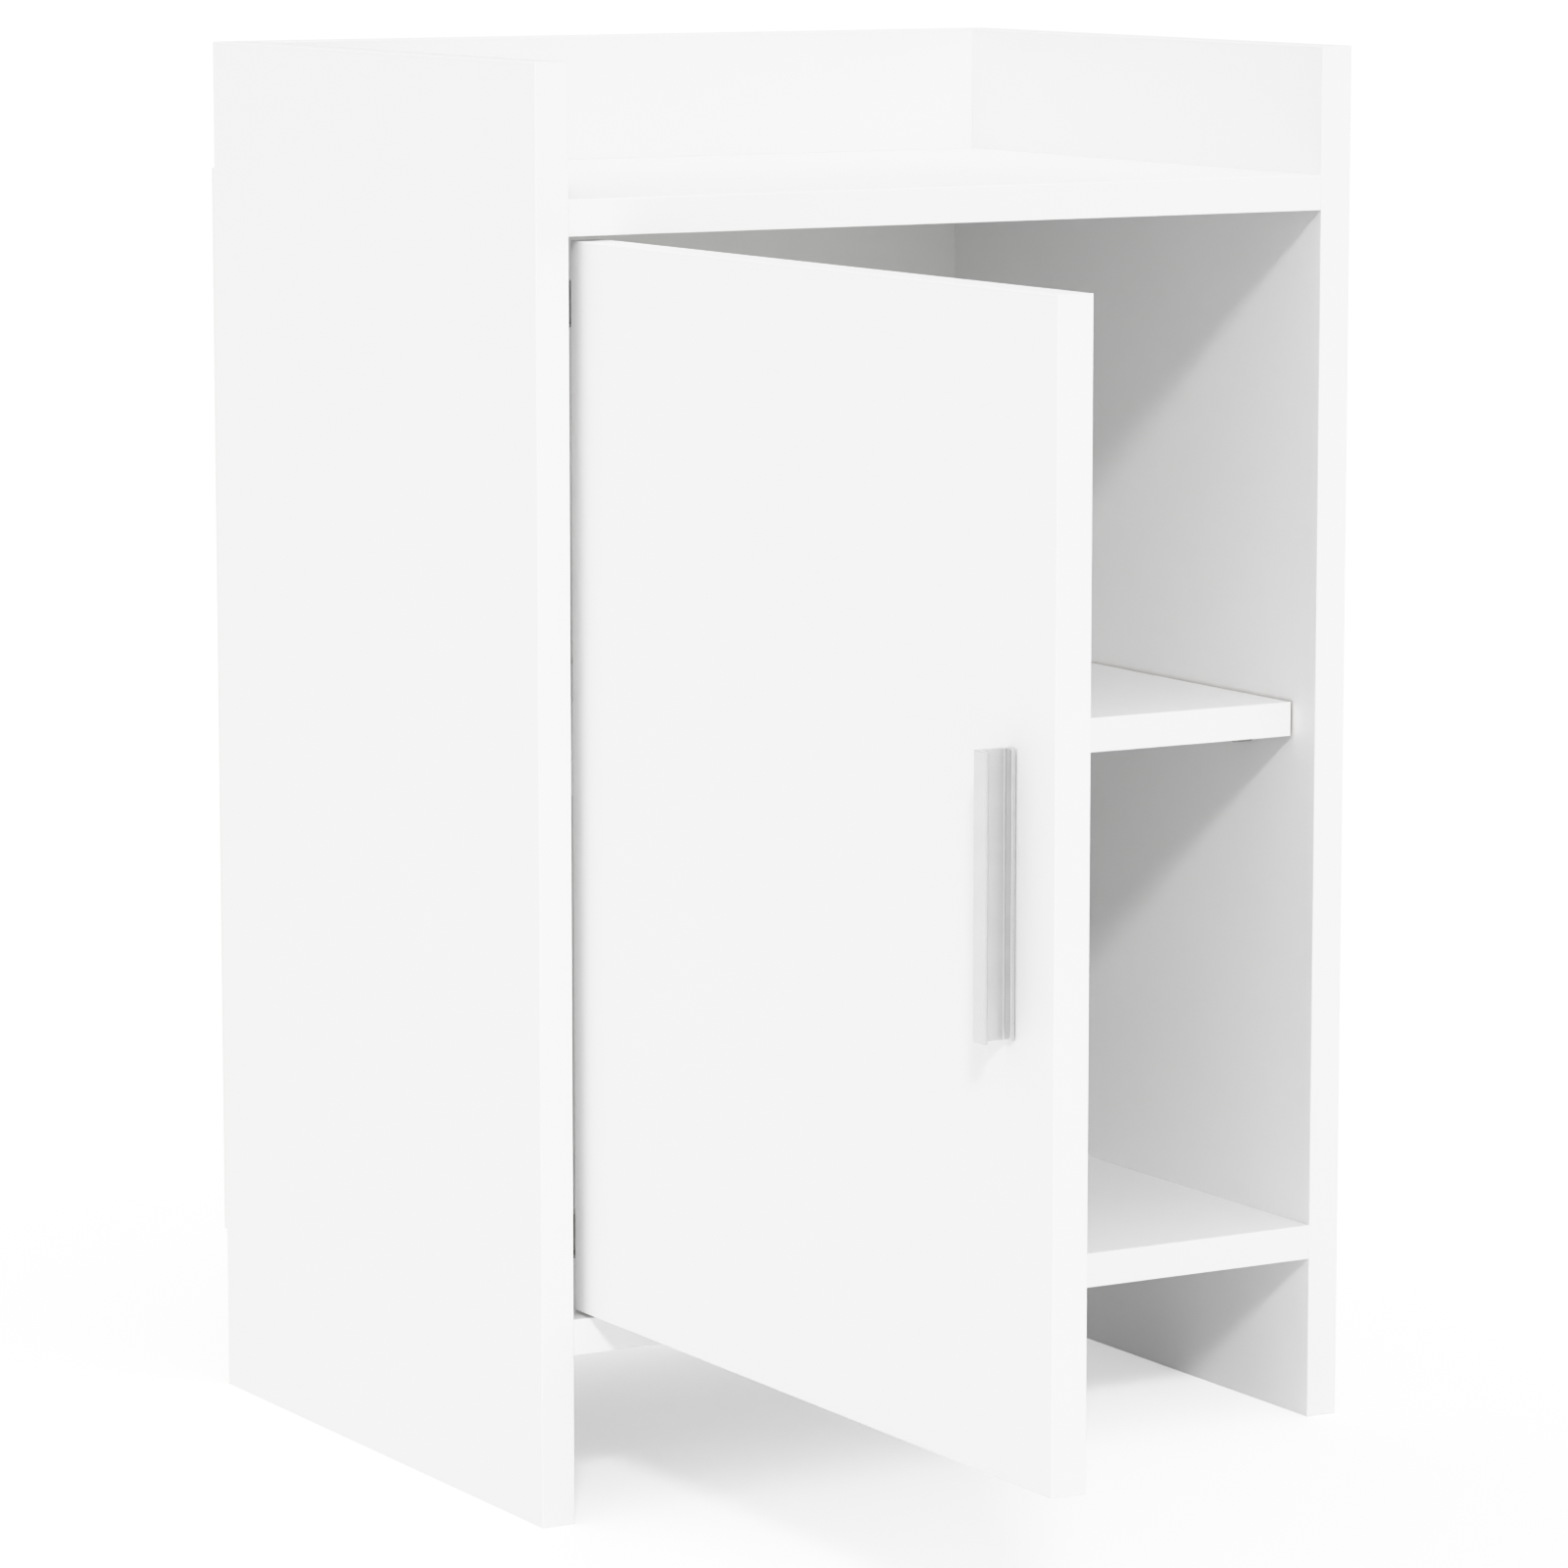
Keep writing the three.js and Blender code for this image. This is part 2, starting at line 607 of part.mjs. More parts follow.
// ---- handle: a C-shaped profile, both its lip and its foot point to the door's free edge ----
function handleShape() {
  const low = doorMiddle - handleLength / 2;
  const high = doorMiddle + handleLength / 2;
  const round = 0.7;
  const foot = -touchGap;
  const lip = foot - handleProjection;
  const outline = new THREE.Shape();
  outline.moveTo(0, foot);
  outline.lineTo(0, lip + round);
  outline.absarc(round, lip + round, round, Math.PI, 1.5 * Math.PI, false);
  outline.lineTo(handleLip - round, lip);
  outline.absarc(handleLip - round, lip + round, round, 1.5 * Math.PI, 2 * Math.PI, false);
  outline.lineTo(handleLip, lip + handleWall);
  outline.lineTo(handleWall, lip + handleWall);
  outline.lineTo(handleWall, foot - handleWall);
  outline.lineTo(handleFoot, foot - handleWall);
  outline.lineTo(handleFoot, foot);
  outline.closePath();
  const holes = [-1, 1].map((turn) => alongY(handleThread + holeClearance, handleFoot / 2,
    foot - handleWall + 0.4, foot + 1, doorMiddle + turn * handleScrewSpacing / 2));
  return carve([prism(outline, low, high)], holes);
}
const handle = add(door, 'handle', handleShape(), aluminium);
handle.position.x = handleX;

const handleScrewTop = doorThickness + touchGap;
for (const [screwName, turn] of Object.entries({ low: -1, high: 1 })) {
  const tip = handleScrewTop + touchGap + handleWall - 0.6;
  const shank = turned([
    [0, -tip], [handleThread - 0.3, -tip], [handleThread, 0.4 - tip], [handleThread, 0],
    [handleScrewHead, 0], [handleScrewHead, 1.2], [handleScrewHead - 1, 2.2], [0, 2.2],
  ]);
  const shape = carve([shank], crossRecess(handleScrewHead - 1.6, 1.1));
  const screw = add(door, `handle_screw_${screwName}`, shape, zinc);
  screw.position.set(handleScrewX, handleScrewTop, doorMiddle + turn * handleScrewSpacing / 2);
}

export default cabinet;
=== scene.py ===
"""A free-standing cabinet of white furniture board: tray top, one shelf, one inset door.

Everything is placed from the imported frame. Shapes are drawn in millimetres and turned to metres
when a piece is finished.
"""

import json
import math

import bmesh
import bpy
from bpy.props import FloatProperty, FloatVectorProperty, IntProperty, PointerProperty, StringProperty
from mathutils import Matrix, Vector


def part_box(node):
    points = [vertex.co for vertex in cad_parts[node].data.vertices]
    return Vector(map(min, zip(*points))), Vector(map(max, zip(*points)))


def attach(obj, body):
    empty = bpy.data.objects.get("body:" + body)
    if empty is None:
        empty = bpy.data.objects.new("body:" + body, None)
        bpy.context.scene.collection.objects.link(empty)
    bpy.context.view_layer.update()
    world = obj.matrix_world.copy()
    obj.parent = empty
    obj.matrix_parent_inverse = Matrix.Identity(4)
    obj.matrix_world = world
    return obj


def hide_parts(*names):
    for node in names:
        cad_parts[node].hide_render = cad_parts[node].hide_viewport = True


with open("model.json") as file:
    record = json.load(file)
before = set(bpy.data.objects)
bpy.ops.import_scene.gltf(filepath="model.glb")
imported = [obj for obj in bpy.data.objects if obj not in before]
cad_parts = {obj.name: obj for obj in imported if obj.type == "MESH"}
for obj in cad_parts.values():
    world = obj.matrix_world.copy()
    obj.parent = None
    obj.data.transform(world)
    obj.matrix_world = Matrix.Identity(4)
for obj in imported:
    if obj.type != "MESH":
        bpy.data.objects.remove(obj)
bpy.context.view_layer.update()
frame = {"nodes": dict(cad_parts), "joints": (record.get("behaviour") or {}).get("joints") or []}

bl_info = {
    "name": "Tray Top Cabinet",
    "version": (1, 0, 0),
    "blender": (4, 5, 0),
    "location": "View3D > Sidebar > Cabinet",
    "description": "Builds a white board cabinet with a tray top, an inset door and cup hinges",
    "category": "Add Mesh",
}

MM = 0.001
CARCASS, DOOR, LINKS = "carcass", "door", "hinge_links"


# ---------------------------------------------------------------- places read from the frame

def box_mm(node):
    """Lowest and highest corner of a CAD node, in millimetres."""
    low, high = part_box(node)
    return low / MM, high / MM


def middle_mm(node):
    low, high = box_mm(node)
    return (low + high) / 2


def joint_mm(name):
    return Vector(next(j["pos_m"] for j in frame["joints"] if j["name"] == name)) / MM


PANEL_INSIDE = box_mm("side_panel_left")[1].x
FRONT = box_mm("side_panel_left")[0].y
DOOR_LOW, DOOR_HIGH = box_mm("door")
DOOR_THICK = DOOR_HIGH.x - DOOR_LOW.x
LEVELS = ("lower", "upper")
HINGE_LEVELS = [middle_mm(f"hinge_arm_{level}").z for level in LEVELS]
HANDLE_SCREWS = ["handle_screw_low", "handle_screw_high"]
PIVOT = joint_mm("door_hinge")
UNDER_HEAD = 0.1  # the gap between a screw's head and what it holds


# ---------------------------------------------------------------- settings

def millimetres(name, description, default, **limits):
    return FloatProperty(name=name, description=f"{description}, in millimetres", default=default,
                         **limits)


def strength(name, description, default):
    return FloatProperty(name=name, description=description, default=default, min=0.0)


def angle_setting(name, description, degrees):
    return FloatProperty(name=name, description=description, subtype="ANGLE",
                         default=math.radians(degrees))


def hex_colour(name, description, default):
    return StringProperty(name=name, description=f"{description}, as an sRGB hex value",
                          default=default)


class BoardSettings(bpy.types.PropertyGroup):
    """Sizes and colours of the boards and their edges."""

    band: millimetres("Edge Band", "Thickness of the edge banding", 0.8, min=0.3, max=2.0)
    edge_round: millimetres(
        "Edge Round", "Radius that the banding is trimmed to", 0.45, min=0.1, max=1.5)
    core_round: millimetres(
        "Core Round", "Broken edge of the board under the banding", 0.12, min=0.02, max=0.5)
    face_colour: hex_colour("Face Colour", "Colour of the melamine faces", "F0F0F0")
    band_colour: hex_colour("Band Colour", "Colour of the edge banding", "F2F2F2")
    raw_dark: hex_colour("Dark Chips", "Darkest chips of the raw particle board", "9C7648")
    raw_light: hex_colour("Light Chips", "Lightest chips of the raw particle board", "DCC295")
    back_raw: hex_colour("Raw Back", "Colour of the hardboard's unfinished rear face", "9A7350")


class HingeSettings(bpy.types.PropertyGroup):
    """Sizes of the cup hinges."""

    cup_radius: millimetres("Cup Radius", "Outer radius of the pressed cup", 17.5)
    cup_wall: millimetres("Cup Wall", "Wall of the pressed cup", 1.0)
    cup_bore: millimetres("Cup Bore", "Depth of the bore that takes the cup", 12.4)
    flange_rim: millimetres("Flange Rim", "How far the flange stands out past the cup", 1.3)
    screw_spacing: millimetres("Cup Screw Spacing", "Between the two cup screws", 45.0)
    screw_offset: millimetres("Cup Screw Offset", "From the cup's middle to the screws' line", 9.5)
    sheet: millimetres("Sheet", "Thickness of the pressed arm's steel", 1.2)
    arm_height: millimetres("Arm Height", "From the panel to the arm's outer face", 11.0)
    side_screw: millimetres("Side Screw", "From the front to the side adjusting screw", 50.0)
    fixing_screw: millimetres("Fixing Screw", "From the front to the arm's fixing screw", 68.0)
    plate_screws: millimetres("Plate Screw Spacing", "Between the plate's two screws", 32.0)


class HandleSettings(bpy.types.PropertyGroup):
    """Sizes of the handle's profile."""

    wall: millimetres("Wall", "Wall of the extruded profile", 2.0)
    foot: millimetres("Foot", "Depth of the foot on the door", 6.3)
    corner: millimetres("Corner", "Radius of the outer corners", 1.2)


class FittingSettings(bpy.types.PropertyGroup):
    """Places of the repeated fasteners."""

    nail_spacing: millimetres("Nail Spacing", "Between two nails of the back panel", 78.0)
    nail_scatter: millimetres("Nail Scatter", "How far a nail strays from its line", 1.2)
    seed: IntProperty(
        name="Seed", description="Fixes the nails' places and the screws' turns", default=7)


class StageSettings(bpy.types.PropertyGroup):
    """Floor, lights and camera."""

    world_strength: strength("Room Light", "Strength of the even light all round", 0.4)
    left_strength: strength("Left Light", "Extra room light from the left side", 0.2)
    top_strength: strength("Top Light", "Extra room light from above", 0.93)
    backdrop_strength: strength("Backdrop", "How bright the wall behind the object looks", 1.5)
    key_strength: strength("Key Light", "Strength of the light from the front left", 1.21)
    key_soft: angle_setting("Key Softness", "Angle that the key light spans", 7)
    key_side: angle_setting("Key Side", "How far left of the front the key light stands", 29)
    key_fall: angle_setting("Key Fall", "Slope of the key light's fall towards the back", 37)
    floor_glow: strength("Floor Glow", "How much brighter the floor looks than it is lit", 0.35)
    focal: millimetres("Focal Length", "Of the camera's lens on a 36 mm sensor", 151.93)
    eye: FloatVectorProperty(
        name="Eye", description="The camera's place", subtype="XYZ", unit="LENGTH",
        default=(-1.4541, -2.3083, 0.6929))
    heading: angle_setting("Heading", "How far the camera turns right from straight ahead", 30.408)
    tilt: angle_setting("Tilt", "How far the camera looks down", 8.234)


# ---------------------------------------------------------------- shapes, in millimetres

def link_object(name, data):
    obj = bpy.data.objects.new(name, data)
    bpy.context.scene.collection.objects.link(obj)
    return obj


def discard(obj):
    data = obj.data
    bpy.data.objects.remove(obj)
    if isinstance(data, bpy.types.Mesh) and data.users == 0:
        bpy.data.meshes.remove(data)


def flatten(obj):
    """Turns the object's modifiers into its plain mesh."""
    graph = bpy.context.evaluated_depsgraph_get()
    made = bpy.data.meshes.new_from_object(obj.evaluated_get(graph), depsgraph=graph)
    obj.modifiers.clear()
    old, obj.data = obj.data, made
    made.name = obj.name
    if old.users == 0:
        bpy.data.meshes.remove(old)
    return obj


def as_object(name, shape, index=0):
    """A scene object from a bmesh; index is the material slot of all its faces."""
    mesh = bpy.data.meshes.new(name)
    if index:
        for face in shape.faces:
            face.material_index = index
    shape.to_mesh(mesh)
    shape.free()
    for _ in range(index + 1):
        mesh.materials.append(None)
    return link_object(name, mesh)


def block(low, high):
    shape = bmesh.new()
    bmesh.ops.create_cube(shape, size=1)
    low, high = Vector(low), Vector(high)
    for vert in shape.verts:
        vert.co = Vector(a + (b - a) * (t + 0.5) for a, b, t in zip(low, high, vert.co))
    return shape


def soft_block(low, high, radius, steps=2):
    shape = block(low, high)
    bmesh.ops.bevel(shape, geom=shape.edges[:], offset=radius, segments=steps, profile=0.5,
                    affect="EDGES", clamp_overlap=True)
    return shape


def prism(outline, low, high):
    """An outline in the XY plane, pulled up from low to high."""
    shape = bmesh.new()
    floor, roof = ([shape.verts.new((x, y, z)) for x, y in outline] for z in (low, high))
    shape.faces.new(floor)
    shape.faces.new(roof)
    for step in range(len(outline)):
        shape.faces.new((floor[step - 1], floor[step], roof[step], roof[step - 1]))
    bmesh.ops.recalc_face_normals(shape, faces=shape.faces)
    return shape


def turned(profile, sides):
    """A closed shape turned about Z from (radius, height) points that start and end on the axis."""
    shape = bmesh.new()
    rings = []
    for radius, height in profile:
        around = sides if radius > 1e-6 else 1
        angles = [2 * math.pi * step / sides for step in range(around)]
        rings.append([shape.verts.new((radius * math.cos(a), radius * math.sin(a), height))
                      for a in angles])
    for low, high in zip(rings, rings[1:]):
        for step in range(sides):
            corners = [low[step % len(low)], low[(step + 1) % sides % len(low)],
                       high[(step + 1) % sides % len(high)], high[step % len(high)]]
            shape.faces.new(list(dict.fromkeys(corners)))
    bmesh.ops.recalc_face_normals(shape, faces=shape.faces)
    return shape


def rod(radius, low, high, sides=32):
    return turned([(0, low), (radius, low), (radius, high), (0, high)], sides)


def rectangle(left, low, right, high, radius, steps=4):
    return rounded([(left, low), (right, low), (right, high), (left, high)], radius, steps)


def arc(centre, radius, start, end, steps):
    """Points on an arc, from the start angle to the end angle, in degrees."""
    for step in range(steps + 1):
        angle = math.radians(start + (end - start) * step / steps)
        yield centre[0] + radius * math.cos(angle), centre[1] + radius * math.sin(angle)


def rounded(corners, radius, steps=4):
    """An outline with its corners rounded; radius is one number, or one for each corner."""
    count = len(corners)
    radii = radius if isinstance(radius, (list, tuple)) else [radius] * count
    points = []
    for at, reach in zip(range(count), radii):
        corner = Vector(corners[at])
        if reach <= 0:
            points.append(tuple(corner))
            continue
        before = Vector(corners[at - 1]) - corner
        after = Vector(corners[(at + 1) % count]) - corner
        reach = min(reach, before.length * 0.45, after.length * 0.45)
        start, end = corner + before.normalized() * reach, corner + after.normalized() * reach
        for step in range(steps + 1):
            t = step / steps
            points.append(tuple((1 - t) ** 2 * start + 2 * t * (1 - t) * corner + t * t * end))
    return points


def placed(shape, matrix):
    bmesh.ops.transform(shape, matrix=matrix, verts=shape.verts)
    return shape


def moved(shape, x, y, z):
    return placed(shape, Matrix.Translation((x, y, z)))


def along(axis):
    """Turns a shape that stands on Z so that it lies along the named axis."""
    return {"X": Matrix.Rotation(math.pi / 2, 4, "Y"), "Y": Matrix.Rotation(-math.pi / 2, 4, "X"),
            "-X": Matrix.Rotation(-math.pi / 2, 4, "Y"), "Z": Matrix.Identity(4)}[axis]


def carved(name, base, joined=(), cuts=(), index=0, raw=0):
    """The base with shapes joined to it and cut from it; raw is the material slot of the cuts."""
    body = as_object(name, base, index)
    while len(body.data.materials) <= raw:
        body.data.materials.append(None)
    tools = []
    for operation, shapes in (("UNION", joined), ("DIFFERENCE", cuts)):
        for shape in shapes:
            tool = as_object("tool", shape, raw if operation == "DIFFERENCE" else index)
            step = body.modifiers.new(operation, "BOOLEAN")
            step.operation = operation
            step.solver = "EXACT"
            step.material_mode = "INDEX"
            step.object = tool
            tools.append(tool)
    flatten(body)
    for tool in tools:
        discard(tool)
    return body


def soften(obj, width, steps=2, angle=35):
    """Rounds the edges that are sharper than the angle, in degrees."""
    bevel = obj.modifiers.new("Round", "BEVEL")
    bevel.width = width
    bevel.segments = steps
    bevel.limit_method = "ANGLE"
    bevel.angle_limit = math.radians(angle)
    bevel.use_clamp_overlap = True
    return flatten(obj)


def joined_object(name, objects):
    """One object from several that hold plain meshes with the same material slots."""
    whole = bmesh.new()
    slots = max(len(obj.data.materials) for obj in objects)
    for obj in objects:
        whole.from_mesh(obj.data)
        discard(obj)
    body = as_object(name, whole)
    while len(body.data.materials) < slots:
        body.data.materials.append(None)
    return body


def finished(obj, body, materials, replaces=(), crease=50):
    """Sets a piece's finish, turns it to metres and fixes it to its body."""
    mesh = obj.data
    marks = [0] * len(mesh.polygons)
    if len(materials) > 1:
        mesh.polygons.foreach_get("material_index", marks)
    mesh.materials.clear()
    for material in materials:
        mesh.materials.append(material)
    mesh.polygons.foreach_set("material_index", marks)
    mesh.transform(Matrix.Scale(MM, 4))
    mesh.shade_smooth()
    mesh.set_sharp_from_angle(angle=math.radians(crease))
    weigh = obj.modifiers.new("Even Faces", "WEIGHTED_NORMAL")
    weigh.keep_sharp = True
    flatten(obj)
    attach(obj, body)
    if replaces:
        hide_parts(*replaces)
    return obj


# ---------------------------------------------------------------- node trees

def add_node(tree, kind, settings=None, inputs=None):
    """Adds a node, sets its properties, and sets or links its inputs."""
    node = tree.nodes.new(kind)
    for key, value in (settings or {}).items():
        setattr(node, key, value)
    for key, value in (inputs or {}).items():
        if isinstance(value, bpy.types.NodeSocket):
            tree.links.new(value, node.inputs[key])
        else:
            node.inputs[key].default_value = value
    return node


def linear(code):
    """A linear colour from an sRGB hex value."""
    parts = [int(code[i:i + 2], 16) / 255 for i in (0, 2, 4)]
    return (*[c / 12.92 if c <= 0.04045 else ((c + 0.055) / 1.055) ** 2.4 for c in parts], 1.0)


def new_tree(name, **inputs):
    """A geometry tree with the inputs that are given as name and kind, and its input sockets."""
    tree = bpy.data.node_groups.new(name, "GeometryNodeTree")
    for label, kind in inputs.items():
        tree.interface.new_socket(label.replace("_", " "), in_out="INPUT",
                                  socket_type=f"NodeSocket{kind}")
    tree.interface.new_socket("Fasteners", in_out="OUTPUT", socket_type="NodeSocketGeometry")
    return tree, add_node(tree, "NodeGroupInput").outputs


def facing_turn(tree, facing, largest, seed):
    """A rotation that points Z along facing, with a seeded turn about it."""
    aim = add_node(tree, "FunctionNodeAlignRotationToVector", {"axis": "Z"}, {"Vector": facing})
    turn = add_node(tree, "FunctionNodeRandomValue", {"data_type": "FLOAT"}, {
        3: largest, "Seed": seed})
    spin = add_node(tree, "FunctionNodeAxisAngleToRotation", inputs={
        "Axis": (0, 0, 1), "Angle": turn.outputs[1]})
    both = add_node(tree, "FunctionNodeRotateRotation", {"rotation_space": "LOCAL"}, {
        "Rotation": aim.outputs["Rotation"], "Rotate By": spin.outputs["Rotation"]})
    return both.outputs["Rotation"]


def close_tree(tree, entry, points, turn):
    """Ends a tree with the unit on each point, made real and given its finish."""
    unit = add_node(tree, "GeometryNodeObjectInfo", inputs={"Object": entry["Unit"]})
    copies = add_node(tree, "GeometryNodeInstanceOnPoints", inputs={
        "Points": points, "Instance": unit.outputs["Geometry"], "Rotation": turn})
    plain = add_node(tree, "GeometryNodeRealizeInstances", inputs={
        "Geometry": copies.outputs["Instances"]})
    paint = add_node(tree, "GeometryNodeSetMaterial", inputs={
        "Geometry": plain.outputs["Geometry"], "Material": entry["Finish"]})
    add_node(tree, "NodeGroupOutput", inputs={0: paint.outputs["Geometry"]})
    return tree


def fastener_tree():
    """Sets one unit on each point, its Z axis along the point's facing."""
    tree, entry = new_tree("Fasteners On Points", Points="Geometry", Unit="Object",
                           Largest_Turn="Float", Seed="Int", Finish="Material")
    facing = add_node(tree, "GeometryNodeInputNamedAttribute", {"data_type": "FLOAT_VECTOR"}, {
        "Name": "facing"})
    turn = facing_turn(tree, facing.outputs["Attribute"], entry["Largest Turn"], entry["Seed"])
    return close_tree(tree, entry, entry["Points"], turn)


def nail_tree():
    """Sets nails at an even spacing along an outline, each a little off its line."""
    tree, entry = new_tree("Nails Along An Outline", Outline="Geometry", Unit="Object",
                           Spacing="Float", Scatter="Float", Seed="Int", Finish="Material")
    line = add_node(tree, "GeometryNodeMeshToCurve", inputs={"Mesh": entry["Outline"]})
    points = add_node(tree, "GeometryNodeCurveToPoints", {"mode": "LENGTH"}, {
        "Curve": line.outputs["Curve"], "Length": entry["Spacing"]})
    after = add_node(tree, "ShaderNodeMath", {"operation": "ADD"}, {0: entry["Seed"], 1: 1.0})
    across, up = [add_node(tree, "FunctionNodeRandomValue", {"data_type": "FLOAT"}, {
        2: -1.0, 3: 1.0, "Seed": seed}).outputs[1] for seed in (entry["Seed"], after.outputs[0])]
    offset = add_node(tree, "ShaderNodeCombineXYZ", inputs={"X": across, "Z": up})
    scaled = add_node(tree, "ShaderNodeVectorMath", {"operation": "SCALE"}, {
        0: offset.outputs[0], "Scale": entry["Scatter"]})
    spread = add_node(tree, "GeometryNodeSetPosition", inputs={
        "Geometry": points.outputs["Points"], "Offset": scaled.outputs[0]})
    turn = facing_turn(tree, (0, 1, 0), 2 * math.pi, entry["Seed"])
    return close_tree(tree, entry, spread.outputs["Geometry"], turn)


def run_tree(obj, tree, values):
    """Runs a tree on the object; values are named as the tree's inputs are."""
    step = obj.modifiers.new(tree.name, "NODES")
    step.node_group = tree
    for item in tree.interface.items_tree:
        if item.item_type == "SOCKET" and item.in_out == "INPUT" and item.name in values:
            step[item.identifier] = values[item.name]
    flatten(obj)
    if not obj.data.vertices:
        raise RuntimeError(f"{obj.name}: the tree made nothing")
    return obj


def fasteners(name, unit, points, facing, body, slot, nodes=(), turn=0.0):
    """Copies of the unit on each point, as one finished metal piece."""
    mesh = bpy.data.meshes.new(name)
    mesh.from_pydata([tuple(p) for p in points], [], [])
    aim = mesh.attributes.new("facing", "FLOAT_VECTOR", "POINT")
    aim.data.foreach_set("vector", [c for _ in points for c in facing])
    tree = bpy.data.node_groups.get("Fasteners On Points") or fastener_tree()
    made = run_tree(link_object(name, mesh), tree, {
        "Unit": unit, "Largest Turn": turn, "Seed": bpy.context.scene.cabinet_fittings.seed,
        "Finish": metal(slot)})
    discard(unit)
    finished(made, body, [metal(slot)], nodes)


# ---------------------------------------------------------------- materials

def new_material(name):
    """An empty material, its node tree and its Object coordinates."""
    material = bpy.data.materials.new(name)
    material.use_nodes = True
    tree = material.node_tree
    tree.nodes.clear()
    return material, tree, add_node(tree, "ShaderNodeTexCoord").outputs["Object"]


def mottle(tree, place, size_mm, dark, light):
    """Soft patches of two colours, about size_mm across."""
    patches = add_node(tree, "ShaderNodeTexNoise", inputs={
        "Vector": place, "Scale": 1 / (size_mm * MM), "Detail": 3.0})
    blend = add_node(tree, "ShaderNodeMix", {"data_type": "RGBA"}, {
        "Factor": patches.outputs["Fac"], 6: linear(dark), 7: linear(light)})
    return blend.outputs[2]


def grain(tree, place, size_mm, detail, noise_roughness=0.5, relief=None, gloss=None):
    """Grains about size_mm across, and the shader inputs that they drive. Relief is a bump's strength
    and its height in millimetres, gloss the lowest and the highest roughness."""
    noise = add_node(tree, "ShaderNodeTexNoise", inputs={
        "Vector": place, "Scale": 1 / (size_mm * MM), "Detail": detail, "Roughness": noise_roughness})
    value, driven = noise.outputs["Fac"], {}
    if relief:
        bump = add_node(tree, "ShaderNodeBump", inputs={
            "Strength": relief[0], "Distance": relief[1] * MM, "Height": value})
        driven["Normal"] = bump.outputs["Normal"]
    if gloss:
        spread = add_node(tree, "ShaderNodeMapRange", inputs={
            "Value": value, "To Min": gloss[0], "To Max": gloss[1]})
        driven["Roughness"] = spread.outputs["Result"]
    return value, driven


def shader(tree, **inputs):
    named = {key.replace("_", " "): value for key, value in inputs.items()}
    surface = add_node(tree, "ShaderNodeBsdfPrincipled", inputs=named)
    add_node(tree, "ShaderNodeOutputMaterial", inputs={"Surface": surface.outputs[0]})


def white_melamine(code):
    """Melamine paper pressed on particle board: satin, with a fine pearl from the press plate."""
    material, tree, place = new_material("melamine_pearl_white")
    _, pearl = grain(tree, place, 0.9, 2.0, 0.6, relief=(0.12, 0.04))
    _, cloud = grain(tree, place, 60, 2.0, gloss=(0.40, 0.50))
    shader(tree, Base_Color=mottle(tree, place, 90, code, "F2F2F2"), IOR=1.5, **pearl, **cloud)
    return material


def edge_band(code):
    """ABS edge banding: a little smoother than the faces, with a faint relief from its trimming."""
    material, tree, place = new_material("abs_edge_banding_white")
    _, relief = grain(tree, place, 1.6, 1.0, relief=(0.08, 0.03), gloss=(0.34, 0.42))
    shader(tree, Base_Color=mottle(tree, place, 40, code, "F4F4F4"), IOR=1.53, **relief)
    return material


def particle_board(dark, light):
    """Raw particle board: pressed chips a few millimetres long, rough and matt."""
    material, tree, place = new_material("particle_board_raw")
    stretch = add_node(tree, "ShaderNodeMapping", inputs={"Vector": place, "Scale": (1, 0.45, 0.45)})
    chips = add_node(tree, "ShaderNodeTexVoronoi", inputs={
        "Vector": stretch.outputs[0], "Scale": 1 / (1.3 * MM), "Randomness": 1.0})
    tone = add_node(tree, "ShaderNodeSeparateColor", inputs={"Color": chips.outputs["Color"]})
    colour = add_node(tree, "ShaderNodeMix", {"data_type": "RGBA"}, {
        "Factor": tone.outputs[0], 6: linear(dark), 7: linear(light)})
    bump = add_node(tree, "ShaderNodeBump", inputs={
        "Strength": 0.5, "Distance": 0.15 * MM, "Height": chips.outputs["Distance"]})
    shader(tree, Base_Color=colour.outputs[2], Roughness=0.85, Normal=bump.outputs["Normal"], IOR=1.4)
    return material


def hardboard_foil():
    """White foil on hardboard: matt, with the board's faint fibre showing through."""
    material, tree, place = new_material("hardboard_white_foil")
    _, fibre = grain(tree, place, 2.5, 4.0, 0.7, relief=(0.15, 0.05), gloss=(0.50, 0.62))
    shader(tree, Base_Color=mottle(tree, place, 70, "EBEBE8", "F0F0EE"), IOR=1.5, **fibre)
    return material


def hardboard_raw(code):
    """Unfinished hardboard: pressed wood fibre, brown, with darker flecks."""
    material, tree, place = new_material("hardboard_raw_brown")
    value, fibre = grain(tree, place, 1.8, 6.0, 0.75, relief=(0.35, 0.08))
    # The noise keeps near its middle, so it is stretched past both colours to part the flecks.
    parted = add_node(tree, "ShaderNodeMapRange", inputs={
        "Value": value, "To Min": -0.4, "To Max": 1.4})
    flecks = add_node(tree, "ShaderNodeMix", {"data_type": "RGBA"}, {
        "Factor": parted.outputs["Result"], 6: linear("7F5C3D"),
        7: mottle(tree, place, 45, code, "AD8862")})
    shader(tree, Base_Color=flecks.outputs[2], Roughness=0.72, IOR=1.45, **fibre)
    return material


def satin_aluminium():
    """Anodised aluminium extrusion: soft sheen, with fine drawing lines along its length."""
    material, tree, place = new_material("anodised_aluminium_satin")
    stretch = add_node(tree, "ShaderNodeMapping", inputs={"Vector": place, "Scale": (1, 1, 0.012)})
    _, lines = grain(tree, stretch.outputs[0], 0.28, 3.0, 0.6, relief=(0.25, 0.02))
    _, sheen = grain(tree, place, 0.5, 2.0, gloss=(0.26, 0.36))
    shader(tree, Base_Color=mottle(tree, place, 12, "DADADA", "E2E2E2"), Metallic=1.0,
           **lines, **sheen)
    return material


